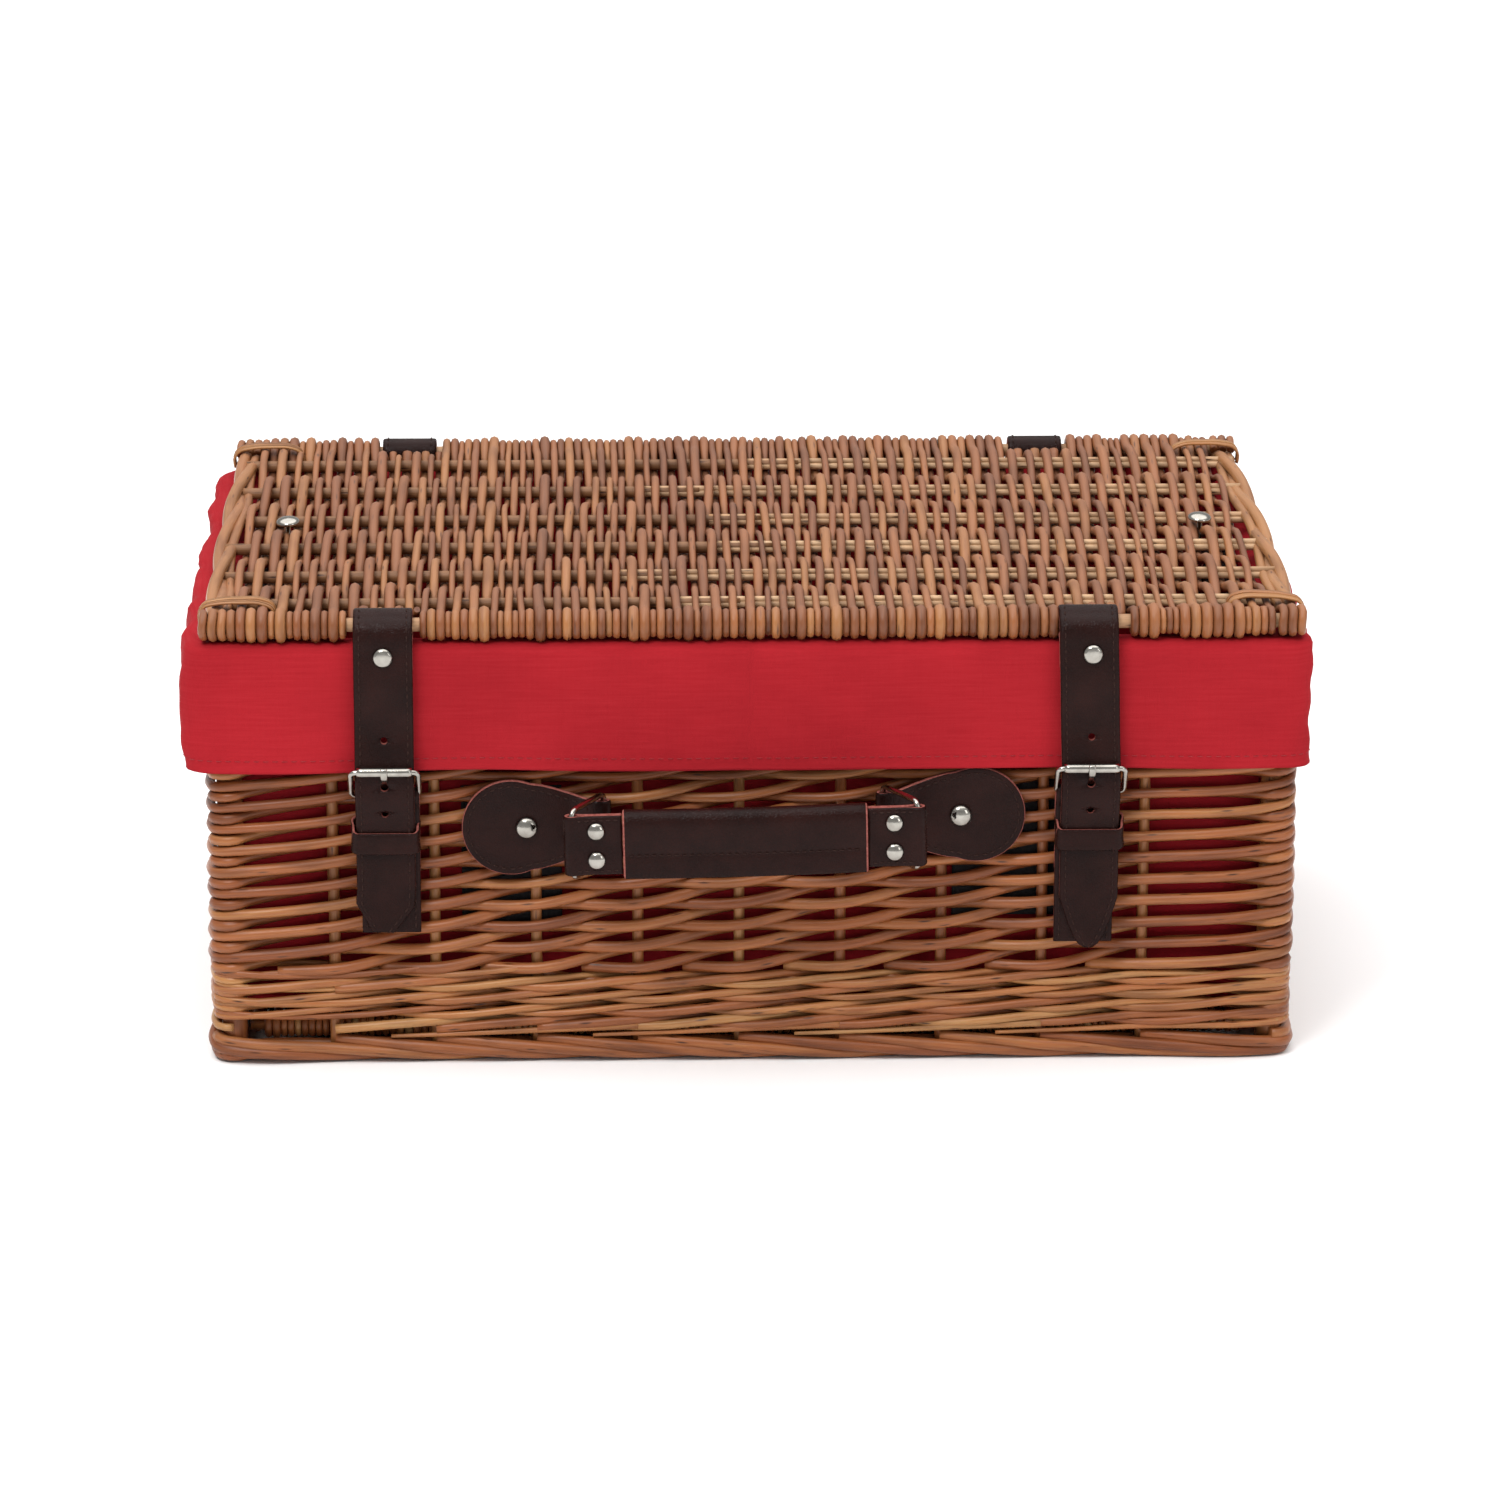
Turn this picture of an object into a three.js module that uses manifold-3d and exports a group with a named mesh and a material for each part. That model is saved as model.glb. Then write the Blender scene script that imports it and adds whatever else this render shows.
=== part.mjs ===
// Wicker picnic basket with a hinged woven lid, a cloth liner, two buckled leather straps
// and a leather carrying handle. Millimetres, +Z up, +X to the right, the front faces -Y.
// The origin is the bottom centre of the whole object's bounding box.
import * as THREE from 'three';
import { mergeVertices } from 'three/addons/utils/BufferGeometryUtils.js';
import Module from 'manifold-3d';

const wasm = await Module();
wasm.setup();

// Driving dimensions
const gap = 0.3;                 // clearance between pieces that touch
const lidWidth = 460;
const lidDepth = 310;
const lidThickness = 14;
const lidTop = 198;
const bodyWidth = 455;           // woven walls, outside
const bodyDepth = 300;
const wallThickness = 12;
const postRadius = 7.5;          // wrapped corner posts
const footHeight = 9.2;          // border that the basket stands on
const baseTop = 20;
const wallTop = 171.7;
const rimTop = 181.5;
const linerThickness = 1.5;
const cuffWidth = 466;           // liner turned down over the rim, outside
const cuffDepth = 309;
const cuffBottom = 129.5;
const edgeStickRadius = 4;
const innerStickRadius = 2.8;
const innerStickPlaces = [-116, -72, -25, 22, 73, 123];
const strapPlaces = { left: -153, right: 140 };
const hingePlaces = { left: -150, right: 137 };
const strapWidth = 24.5;
const strapThickness = 2.2;
const strapTip = 56;
const buckleBarHeight = 120;     // bar that the buckle and the prong turn on
const buckleWireRadius = 1.3;
const rollerRadius = 2;
const keeperHeight = 96;
const handlePlace = { x: -4, z: 106.6 };
const handleTilt = THREE.MathUtils.degToRad(1.36);
const gripLength = 101;
const gripHeight = 29;
const gripThickness = 9;
const ringReach = 28;            // between the two upright bars of a handle ring
const ringHeight = 29;
const ringBarPlace = 58;         // ring's inner bar, from the handle's middle
const tabEyePlace = 71.5;        // ring's outer bar, from the handle's middle
const ringWireRadius = 1.25;
const escutcheonRadius = 20.5;
const escutcheonPlace = 97;
const escutcheonStudPlace = 90.5;
const lidRivetPlace = 199;
const stayUpperLength = 62.5;
const stayLowerLength = 153;
const stayWallRivet = { y: 110, z: 140 };

// Places that follow from them
const wallFront = -bodyDepth / 2;
const lidBottom = lidTop - lidThickness;
const lidMiddle = lidTop - lidThickness / 2;
const hingeAxis = { y: lidDepth / 2 - lidThickness / 2, z: lidMiddle };
const frontStick = { y: -hingeAxis.y, z: lidMiddle };
const buckleBar = { y: wallFront - 6.4, z: buckleBarHeight };
const roller = { y: buckleBar.y - 7.4, z: buckleBar.z + 12 };
const ringBar = wallFront - 4.5;
const ringSpread = tabEyePlace - ringBarPlace;
const gripPlane = ringBar - Math.sqrt(ringReach ** 2 - ringSpread ** 2);
const backReach = lidDepth / 2 + 4.9;
const frontReach = -gripPlane + gripThickness / 2;
const sides = { left: -1, right: 1 };

const finish = (color, roughness, metalness = 0) => (
  new THREE.MeshStandardMaterial({ color, roughness, metalness })
);
const materials = {
  willow: finish(0x9c6136, 0.55),
  paleWillow: finish(0xb98c55, 0.6),
  cloth: finish(0xb3202c, 0.9),
  leather: finish(0x2c1b18, 0.45),
  nickel: finish(0xd0d0cc, 0.2, 1),
};

const basket = new THREE.Group();
basket.position.y = (frontReach - backReach) / 2;

function put(name, geometry, material, group = basket) {
  const mesh = new THREE.Mesh(geometry, material);
  mesh.name = name;
  group.add(mesh);
  return mesh;
}

// Joining and cutting
function solidOf(geometry) {
  const bare = geometry.clone();
  bare.deleteAttribute('normal');
  bare.deleteAttribute('uv');
  const merged = mergeVertices(bare, 1e-4);
  return new wasm.Manifold(new wasm.Mesh({
    numProp: 3,
    vertProperties: new Float32Array(merged.attributes.position.array),
    triVerts: new Uint32Array(merged.index.array),
  }));
}

function geometryOf(solid) {
  const mesh = solid.getMesh();
  const geometry = new THREE.BufferGeometry();
  geometry.setAttribute('position', new THREE.BufferAttribute(mesh.vertProperties, 3));
  geometry.setIndex(new THREE.BufferAttribute(mesh.triVerts, 1));
  return geometry;
}

const combine = (how, first, others) => (
  geometryOf(others.reduce((whole, other) => whole[how](solidOf(other)), solidOf(first)))
);
const join = (first, ...others) => combine('add', first, others);
const cut = (first, ...others) => combine('subtract', first, others);
const shared = (first, ...others) => combine('intersect', first, others);

// Basic bodies
function block(low, high) {
  const size = high.map((value, axis) => value - low[axis]);
  const middle = high.map((value, axis) => (value + low[axis]) / 2);
  return new THREE.BoxGeometry(...size).translate(...middle);
}

function bar(from, to, radius, facets = 8) {
  const start = new THREE.Vector3(...from);
  const way = new THREE.Vector3(...to).sub(start);
  const turn = new THREE.Quaternion().setFromUnitVectors(
    new THREE.Vector3(0, 1, 0),
    way.clone().normalize(),
  );
  const middle = start.addScaledVector(way, 0.5);
  return new THREE.CylinderGeometry(radius, radius, way.length(), facets)
    .applyQuaternion(turn)
    .translate(middle.x, middle.y, middle.z);
}

function wireLoop(corners, radius) {
  const bars = corners.map((corner, k) => bar(corner, corners[(k + 1) % corners.length], radius));
  const knuckles = corners.map((corner) => (
    new THREE.SphereGeometry(radius * 1.05, 8, 6).translate(...corner)
  ));
  return join(bars[0], ...bars.slice(1), ...knuckles);
}

function roundedRectangle(width, depth, radius) {
  const x = width / 2 - radius;
  const y = depth / 2 - radius;
  const shape = new THREE.Shape();
  shape.absarc(x, y, radius, 0, Math.PI / 2);
  shape.absarc(-x, y, radius, Math.PI / 2, Math.PI);
  shape.absarc(-x, -y, radius, Math.PI, 1.5 * Math.PI);
  shape.absarc(x, -y, radius, 1.5 * Math.PI, 2 * Math.PI);
  return shape;
}

const prism = (shape, bottom, top, curveSegments = 6) => (
  new THREE.ExtrudeGeometry(shape, { depth: top - bottom, bevelEnabled: false, curveSegments })
    .translate(0, 0, bottom)
);

// A profile drawn in the YZ plane, carried along X
const alongX = (shape, from, to, curveSegments = 6) => (
  prism(shape, from, to, curveSegments).applyMatrix4(new THREE.Matrix4().makeBasis(
    new THREE.Vector3(0, 1, 0),
    new THREE.Vector3(0, 0, 1),
    new THREE.Vector3(1, 0, 0),
  ))
);

// A profile drawn in the XZ plane, carried along Y
const alongY = (shape, from, to, curveSegments = 6) => (
  prism(shape, -to, -from, curveSegments).applyMatrix4(new THREE.Matrix4().makeBasis(
    new THREE.Vector3(1, 0, 0),
    new THREE.Vector3(0, 0, 1),
    new THREE.Vector3(0, -1, 0),
  ))
);

function arc(centre, radius, fromDegrees, toDegrees, steps) {
  return Array.from({ length: steps + 1 }, (_, k) => {
    const turn = THREE.MathUtils.degToRad(fromDegrees + (toDegrees - fromDegrees) * k / steps);
    return [centre.y + radius * Math.cos(turn), centre.z + radius * Math.sin(turn)];
  });
}

// The edge-on outline of a band of leather that follows a line of points
function ribbon(points, thickness) {
  const line = points.map(([u, v]) => new THREE.Vector2(u, v));
  const offsets = line.map((point, k) => {
    const before = point.clone().sub(line[Math.max(k - 1, 0)]).normalize();
    const after = line[Math.min(k + 1, line.length - 1)].clone().sub(point).normalize();
    const way = before.clone().add(after).normalize();
    const reach = thickness / 2 / Math.max(way.dot(after.length() > 0 ? after : before), 0.5);
    return new THREE.Vector2(-way.y, way.x).multiplyScalar(reach);
  });
  const one = line.map((point, k) => point.clone().add(offsets[k]));
  const other = line.map((point, k) => point.clone().sub(offsets[k])).reverse();
  return new THREE.Shape([...one, ...other]);
}

// A domed rivet, head up, with its shank below and an optional cap under the shank
function rivet(headRadius, headHeight, shankRadius, shankLength, capHeight = 0) {
  const dome = Array.from({ length: 4 }, (_, k) => {
    const turn = (k + 1) * Math.PI / 8;
    return new THREE.Vector2(headRadius * Math.cos(turn), headHeight * Math.sin(turn));
  });
  const foot = capHeight
    ? [[0, -shankLength - capHeight], [headRadius * 0.85, -shankLength - capHeight],
      [headRadius * 0.85, -shankLength], [shankRadius, -shankLength]]
    : [[0, -shankLength], [shankRadius, -shankLength]];
  const profile = [
    ...foot.map(([radius, height]) => new THREE.Vector2(radius, height)),
    new THREE.Vector2(shankRadius, 0),
    new THREE.Vector2(headRadius, 0),
    ...dome.slice(0, 3),
    new THREE.Vector2(0, headHeight),
  ];
  return new THREE.LatheGeometry(profile, 12).rotateX(Math.PI / 2);
}

const facing = {
  front: (geometry) => geometry.rotateX(Math.PI / 2),
  back: (geometry) => geometry.rotateX(-Math.PI / 2),
};

function addBody() {
  const inside = { x: bodyWidth / 2 - wallThickness, y: bodyDepth / 2 - wallThickness };
  const post = { x: bodyWidth / 2 - postRadius, y: bodyDepth / 2 - postRadius };
  const wallBottom = footHeight + gap;
  const foot = cut(
    prism(roundedRectangle(bodyWidth + 2, bodyDepth + 2, 16), 0, footHeight),
    prism(roundedRectangle(2 * inside.x - 5, 2 * inside.y - 5, 6), -1, footHeight + 1),
  );
  put('foot_border', foot, materials.willow);
  const baseShape = roundedRectangle(2 * inside.x - 1, 2 * inside.y - 1, 10);
  put('base_weave', prism(baseShape, wallBottom, baseTop), materials.willow);

  const frontEnd = post.x - postRadius - gap;
  const sideEnd = post.y - postRadius - gap;
  for (const [name, side] of [['front', -1], ['back', 1]]) {
    const faces = [side * bodyDepth / 2, side * inside.y].sort((a, b) => a - b);
    const wall = block([-frontEnd, faces[0], wallBottom], [frontEnd, faces[1], wallTop]);
    put(`${name}_wall_weave`, wall, materials.willow);
  }
  for (const [name, side] of Object.entries(sides)) {
    const faces = [side * bodyWidth / 2, side * inside.x].sort((a, b) => a - b);
    const wall = block([faces[0], -sideEnd, wallBottom], [faces[1], sideEnd, wallTop]);
    put(`${name}_wall_weave`, wall, materials.willow);
    for (const [end, way] of [['front', -1], ['back', 1]]) {
      const place = [side * post.x, way * post.y];
      const upright = bar([...place, wallBottom], [...place, wallTop], postRadius, 20);
      put(`corner_post_${end}_${name}`, upright, materials.willow);
    }
  }

  const rim = cut(
    prism(roundedRectangle(bodyWidth, bodyDepth, 12), wallTop + gap, rimTop),
    prism(roundedRectangle(2 * inside.x, 2 * inside.y, 10.4), wallTop, rimTop + 1),
  );
  put('rim_border', rim, materials.willow);
}

// The liner covers the base and the walls inside, crosses the rim and hangs down outside as a cuff
function addLiner() {
  const top = rimTop + gap + linerThickness + 0.3;
  const outer = { x: bodyWidth - 2 * wallThickness - 0.8, y: bodyDepth - 2 * wallThickness - 0.8 };
  const floor = baseTop + gap;
  const layer = (width, depth, radius, bottom, end) => (
    prism(roundedRectangle(width, depth, radius), bottom, end)
  );
  const thick = 2 * linerThickness;
  const cuff = cut(
    layer(cuffWidth, cuffDepth, 9, cuffBottom, top),
    layer(cuffWidth - thick, cuffDepth - thick, 7.5, cuffBottom - 1, top - linerThickness),
  );
  const cloth = cut(
    join(cuff, layer(outer.x, outer.y, 10, floor, top)),
    layer(outer.x - thick, outer.y - thick, 8.5, floor + linerThickness, top + 1),
    bar(
      [-bodyWidth / 2, stayWallRivet.y, stayWallRivet.z],
      [bodyWidth / 2, stayWallRivet.y, stayWallRivet.z],
      2.3,
    ),
  );
  return cloth;
}

function addLid() {
  const weave = new THREE.Shape();
  const round = lidThickness / 2;
  weave.absarc(hingeAxis.y, lidMiddle, round, -Math.PI / 2, Math.PI / 2);
  weave.absarc(frontStick.y, lidMiddle, round, Math.PI / 2, 1.5 * Math.PI);
  const tunnels = [
    ...innerStickPlaces.map((y) => ({ y, radius: innerStickRadius })),
    ...[frontStick.y, hingeAxis.y].map((y) => ({ y, radius: edgeStickRadius })),
  ].map(({ y, radius }) => (
    bar([-lidWidth, y, lidMiddle], [lidWidth, y, lidMiddle], radius + 0.5, 10)
  ));
  const notch = (x, low, high) => (
    block([x - strapWidth / 2 - 1.2, low, lidBottom - 1], [x + strapWidth / 2 + 1.2, high, lidTop + 1])
  );
  const notchDepth = lidThickness + 0.6;
  const frontNotches = Object.values(strapPlaces).map((x) => (
    notch(x, -lidDepth, -lidDepth / 2 + notchDepth)
  ));
  const backNotches = Object.values(hingePlaces).map((x) => (
    notch(x, lidDepth / 2 - notchDepth, lidDepth)
  ));
  const rivetHoles = Object.values(sides).map((side) => (
    bar([side * lidRivetPlace, 0, lidBottom - 1], [side * lidRivetPlace, 0, lidTop + 1], 2.3)
  ));
  const slab = cut(
    alongX(weave, -lidWidth / 2, lidWidth / 2),
    ...tunnels,
    ...frontNotches,
    ...backNotches,
    ...rivetHoles,
  );
  put('lid_weave', slab, materials.willow);

  const stickEnd = lidWidth / 2 - 0.5;
  const stick = (y, radius) => (
    bar([-stickEnd, y, lidMiddle], [stickEnd, y, lidMiddle], radius, 10)
  );
  put('lid_front_stick', stick(frontStick.y, edgeStickRadius), materials.paleWillow);
  put('lid_back_stick', stick(hingeAxis.y, edgeStickRadius), materials.paleWillow);
  innerStickPlaces.forEach((y, k) => {
    put(`lid_inner_stick_${k + 1}`, stick(y, innerStickRadius), materials.paleWillow);
  });
}

// Leather stays that stop the lid: riveted under the lid and to the side walls, folded when shut
function addStays() {
  const padThickness = 1.8;
  const padTop = lidBottom - 2 * gap;
  const upperPivot = { y: -7, z: padTop - padThickness / 2 };
  const across = Math.hypot(upperPivot.y - stayWallRivet.y, upperPivot.z - stayWallRivet.z);
  const along = (stayUpperLength ** 2 - stayLowerLength ** 2 + across ** 2) / (2 * across);
  const aside = Math.sqrt(stayUpperLength ** 2 - along ** 2);
  const way = {
    y: (stayWallRivet.y - upperPivot.y) / across,
    z: (stayWallRivet.z - upperPivot.z) / across,
  };
  const elbow = {
    y: upperPivot.y + way.y * along + way.z * aside,
    z: upperPivot.z + way.z * along - way.y * aside,
  };
  const towards = (from, to, distance) => {
    const length = Math.hypot(to.y - from.y, to.z - from.z);
    return [
      from.y + (to.y - from.y) * distance / length,
      from.z + (to.z - from.z) * distance / length,
    ];
  };
  for (const [name, side] of Object.entries(sides)) {
    const span = (low, high) => [side * low, side * high].sort((a, b) => a - b);
    const [padLow, padHigh] = span(193, 212);
    const [bandLow, bandHigh] = span(200, 212);
    const upperLine = [
      [upperPivot.y + 1, upperPivot.z],
      towards(upperPivot, elbow, stayUpperLength - 2.6),
    ];
    const upper = cut(
      join(
        block([padLow, upperPivot.y, padTop - padThickness], [padHigh, 7, padTop]),
        alongX(ribbon(upperLine, padThickness), bandLow, bandHigh),
      ),
      bar([side * lidRivetPlace, 0, padTop - 5], [side * lidRivetPlace, 0, padTop + 5], 2.3),
    );
    put(`stay_upper_${name}`, upper, materials.leather);

    const lowerLine = [towards(elbow, stayWallRivet, 0.6), [stayWallRivet.y, stayWallRivet.z]];
    const [tabLow, tabHigh] = span(211.3, 213.1);
    const tab = block(
      [tabLow, stayWallRivet.y - 9, stayWallRivet.z - 6],
      [tabHigh, stayWallRivet.y + 7, stayWallRivet.z + 6],
    );
    const lower = cut(
      join(tab, alongX(ribbon(lowerLine, padThickness), bandLow, bandHigh)),
      bar(
        [side * 190, stayWallRivet.y, stayWallRivet.z],
        [side * 220, stayWallRivet.y, stayWallRivet.z],
        2.3,
      ),
      block(
        [span(190, 211.3)[0], stayWallRivet.y - 7, stayWallRivet.z - 12],
        [span(190, 211.3)[1], stayWallRivet.y + 12, stayWallRivet.z + 12],
      ),
    );
    put(`stay_lower_${name}`, lower, materials.leather);

    const wallRivet = rivet(4, 2, 1.8, 3.9).rotateY(-side * Math.PI / 2);
    wallRivet.translate(side * 211, stayWallRivet.y, stayWallRivet.z);
    put(`stay_wall_rivet_${name}`, wallRivet, materials.nickel);

    const lidRivet = rivet(4.75, 3.4, 1.8, lidThickness + padThickness + 4 * gap, 1.2);
    lidRivet.translate(side * lidRivetPlace, 0, lidTop + gap);
    put(`lid_rivet_${name}`, lidRivet, materials.nickel);
  }
}

// Leather loops round the lid's back stick, riveted to the back wall: the lid turns in them
function addHinges() {
  const bandThickness = 2.2;
  const outside = cuffDepth / 2 + 0.6 + bandThickness / 2;
  const line = [
    ...arc(hingeAxis, edgeStickRadius + 0.6 + bandThickness / 2, -60, -330, 12).slice(0, 12),
    [outside, hingeAxis.z - 2],
    [outside, 150],
  ];
  for (const [name, x] of Object.entries(hingePlaces)) {
    const band = cut(
      alongX(ribbon(line, bandThickness), x - strapWidth / 2, x + strapWidth / 2),
      bar([x, outside - 5, 160], [x, outside + 5, 160], 2.1),
    );
    put(`hinge_leather_${name}`, band, materials.leather);
    const stud = facing.back(rivet(4, 2, 1.8, bandThickness + gap));
    stud.translate(x, outside + bandThickness / 2 + gap, 160);
    put(`hinge_rivet_${name}`, stud, materials.nickel);
  }
}

function addStraps() {
  const loopRadius = edgeStickRadius + 0.8 + strapThickness / 2;
  const flap = frontStick.y - 8.2;
  const front = frontStick.y - 10.5;
  const tail = wallFront - 7.4;
  const line = [
    [flap, 174],
    [flap, lidMiddle - 6.4],
    ...arc(frontStick, loopRadius, 225, 495, 14),
    [front, lidMiddle - 4],
    [front, 146],
    [roller.y + 3.6, roller.z + 2],
    [buckleBar.y - 4.9, buckleBar.z + 4],
    [buckleBar.y - 4.9, buckleBar.z - 2],
    [tail, buckleBar.z - 12],
    [tail, strapTip - 1],
  ];
  const half = strapWidth / 2;
  const lower = wallFront - 5.1;
  const returned = wallFront - 3.1;
  const lowerLine = [
    [returned, 86],
    [returned, buckleBar.z - 3.5],
    ...arc(buckleBar, buckleWireRadius + 1.2, -20, 200, 10),
    [lower, buckleBar.z - 6.5],
    [lower, 54],
  ];
  const frameDepth = buckleBar.y - roller.y;
  const frameRise = roller.z - buckleBar.z;
  const lean = Math.atan2(frameDepth, frameRise)
    + Math.asin((rollerRadius + gap + 1.2) / Math.hypot(frameDepth, frameRise));
  const prongEnd = [buckleBar.y - 15 * Math.sin(lean), buckleBar.z + 15 * Math.cos(lean)];
  const prongHole = buckleBar.z + 4.7 / Math.tan(lean);

  for (const [name, x] of Object.entries(strapPlaces)) {
    const silhouette = new THREE.Shape([
      [x - half, 210], [x - half, strapTip + 12], [x - 5, strapTip],
      [x + 5, strapTip], [x + half, strapTip + 12], [x + half, 210],
    ].map(([u, v]) => new THREE.Vector2(u, v)));
    const holes = [prongHole + 20, prongHole - 12].map((z) => (
      bar([x, -lidDepth, z], [x, frontStick.y - 9.4, z], 1.5)
    ));
    const strap = cut(
      shared(
        alongX(ribbon(line, strapThickness), x - half, x + half),
        alongY(silhouette, -lidDepth, 0),
      ),
      ...holes,
      block([x - 1.7, -lidDepth, prongHole - 3], [x + 1.7, wallFront - 7, prongHole + 3.4]),
      bar([x, -lidDepth, 180], [x, 0, 180], 2.1),
    );
    put(`strap_${name}`, strap, materials.leather);

    const stud = facing.front(rivet(4.1, 2.2, 1.8, 2 * strapThickness + gap));
    stud.translate(x, front - strapThickness / 2 - gap, 180);
    put(`strap_stud_${name}`, stud, materials.nickel);

    const lowerStrap = cut(
      alongX(ribbon(lowerLine, 1.8), x - half, x + half),
      block([x - 1.7, -lidDepth, buckleBar.z - 5], [x + 1.7, 0, buckleBar.z + 6]),
    );
    put(`lower_strap_${name}`, lowerStrap, materials.leather);

    const arm = half + 0.5 + buckleWireRadius;
    const frame = wireLoop([
      [x - arm, buckleBar.y, buckleBar.z],
      [x + arm, buckleBar.y, buckleBar.z],
      [x + arm, roller.y, roller.z],
      [x - arm, roller.y, roller.z],
    ], buckleWireRadius);
    put(`buckle_frame_${name}`, frame, materials.nickel);

    const sleeve = cut(
      bar([x - 11.5, roller.y, roller.z], [x + 11.5, roller.y, roller.z], rollerRadius, 12),
      bar([x - 13, roller.y, roller.z], [x + 13, roller.y, roller.z], buckleWireRadius + 0.25, 12),
    );
    put(`buckle_roller_${name}`, sleeve, materials.nickel);

    const prong = cut(
      join(
        bar([x - 1.2, buckleBar.y, buckleBar.z], [x + 1.2, buckleBar.y, buckleBar.z], 2.9, 12),
        bar([x, buckleBar.y, buckleBar.z], [x, ...prongEnd], 1.2),
      ),
      bar(
        [x - 3, buckleBar.y, buckleBar.z],
        [x + 3, buckleBar.y, buckleBar.z],
        buckleWireRadius + 0.4,
        12,
      ),
    );
    put(`buckle_prong_${name}`, prong, materials.nickel);

    const keeperOutside = roundedFrame(x, half + 2, wallFront - 10.4, wallFront - 0.4);
    const keeperInside = roundedFrame(x, half + 0.4, wallFront - 8.8, wallFront - 1.9);
    const keeper = cut(
      prism(keeperOutside, keeperHeight, keeperHeight + 8.5),
      prism(keeperInside, keeperHeight - 1, keeperHeight + 10),
    );
    put(`strap_keeper_${name}`, keeper, materials.leather);
  }
}

function roundedFrame(x, half, low, high) {
  return new THREE.Shape([
    [x - half, low], [x + half, low], [x + half, high], [x - half, high],
  ].map(([u, v]) => new THREE.Vector2(u, v)));
}

function addHandle() {
  const handle = new THREE.Group();
  handle.position.set(handlePlace.x, 0, handlePlace.z);
  handle.rotation.y = -handleTilt;
  basket.add(handle);

  const grip = new THREE.Shape();
  const round = gripThickness / 2;
  const upper = gripHeight / 2 - round;
  grip.absarc(gripPlane, upper, round, 0, Math.PI);
  grip.absarc(gripPlane, -upper, round, Math.PI, 2 * Math.PI);
  put('handle_grip', alongX(grip, -gripLength / 2, gripLength / 2), materials.leather, handle);

  const tabThickness = 4.6;
  const tabHeight = 25.4;
  for (const [name, side] of Object.entries(sides)) {
    const eye = [side * tabEyePlace, gripPlane];
    const start = side * (gripLength / 2 + 0.4);
    const [low, high] = [start, eye[0]].sort((a, b) => a - b);
    const rivetX = side * 61.5;
    const rivetHoles = [-6.2, 6.2].map((z) => (
      bar([rivetX, gripPlane - 9, z], [rivetX, gripPlane + 9, z], 1.7)
    ));
    const tab = cut(
      join(
        block(
          [low, gripPlane - tabThickness / 2, -tabHeight / 2],
          [high, gripPlane + tabThickness / 2, tabHeight / 2],
        ),
        bar([...eye, -tabHeight / 2], [...eye, tabHeight / 2], 3.3, 14),
      ),
      bar([...eye, -tabHeight], [...eye, tabHeight], ringWireRadius + 0.5, 10),
      ...rivetHoles,
    );
    put(`handle_tab_${name}`, tab, materials.leather, handle);
    [['lower', -6.2], ['upper', 6.2]].forEach(([level, z]) => {
      const head = facing.front(rivet(3.8, 2.2, 1.4, tabThickness + 2 * gap, 1));
      head.translate(rivetX, gripPlane - tabThickness / 2 - gap, z);
      put(`handle_rivet_${name}_${level}`, head, materials.nickel, handle);
    });

    const ring = wireLoop([
      [side * ringBarPlace, ringBar, -ringHeight / 2],
      [side * ringBarPlace, ringBar, ringHeight / 2],
      [side * tabEyePlace, gripPlane, ringHeight / 2],
      [side * tabEyePlace, gripPlane, -ringHeight / 2],
    ], ringWireRadius);
    put(`handle_ring_${name}`, ring, materials.nickel, handle);

    addEscutcheon(name, side, handle);
  }
}

// Teardrop of leather on the wall, drawn out to a loop that holds the ring
function addEscutcheon(name, side, handle) {
  const loopHalf = 12;
  const outline = new THREE.Shape();
  const middle = side * escutcheonPlace;
  const open = THREE.MathUtils.degToRad(62);
  const from = side > 0 ? Math.PI - open : open;
  outline.moveTo(side * ringBarPlace, loopHalf);
  if (side > 0) {
    outline.absarc(middle, 0, escutcheonRadius, from, -from, true);
  } else {
    outline.absarc(middle, 0, escutcheonRadius, from, 2 * Math.PI - from, false);
  }
  outline.lineTo(side * ringBarPlace, -loopHalf);
  const face = wallFront - gap - 2.5;
  const stud = [side * escutcheonStudPlace, 0];
  const barAt = (half) => [
    [side * ringBarPlace, ringBar, -half],
    [side * ringBarPlace, ringBar, half],
  ];
  const plate = cut(
    join(alongY(outline, face, wallFront - gap, 12), bar(...barAt(loopHalf), 3.2, 14)),
    bar(...barAt(2 * loopHalf), ringWireRadius + 0.4, 10),
    bar([stud[0], face - 5, stud[1]], [stud[0], face + 5, stud[1]], 2.2),
  );
  put(`escutcheon_${name}`, plate, materials.leather, handle);
  const head = facing.front(rivet(4.6, 2.8, 1.8, 2.5));
  head.translate(stud[0], face - gap, stud[1]);
  put(`escutcheon_stud_${name}`, head, materials.nickel, handle);
}

addBody();
put('liner', addLiner(), materials.cloth);
addLid();
addStays();
addHinges();
addStraps();
addHandle();

export default basket;
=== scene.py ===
"""Wicker picnic basket: every visible piece in mesh code, its materials, the light and the camera.

Shapes are worked out in millimetres in the basket's own frame: x to the right, the front faces -y, z up,
with the middle of the basket at x = 0 and y = 0.
"""
import math
import random

import bpy
import numpy as np
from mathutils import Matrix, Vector, noise


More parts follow.
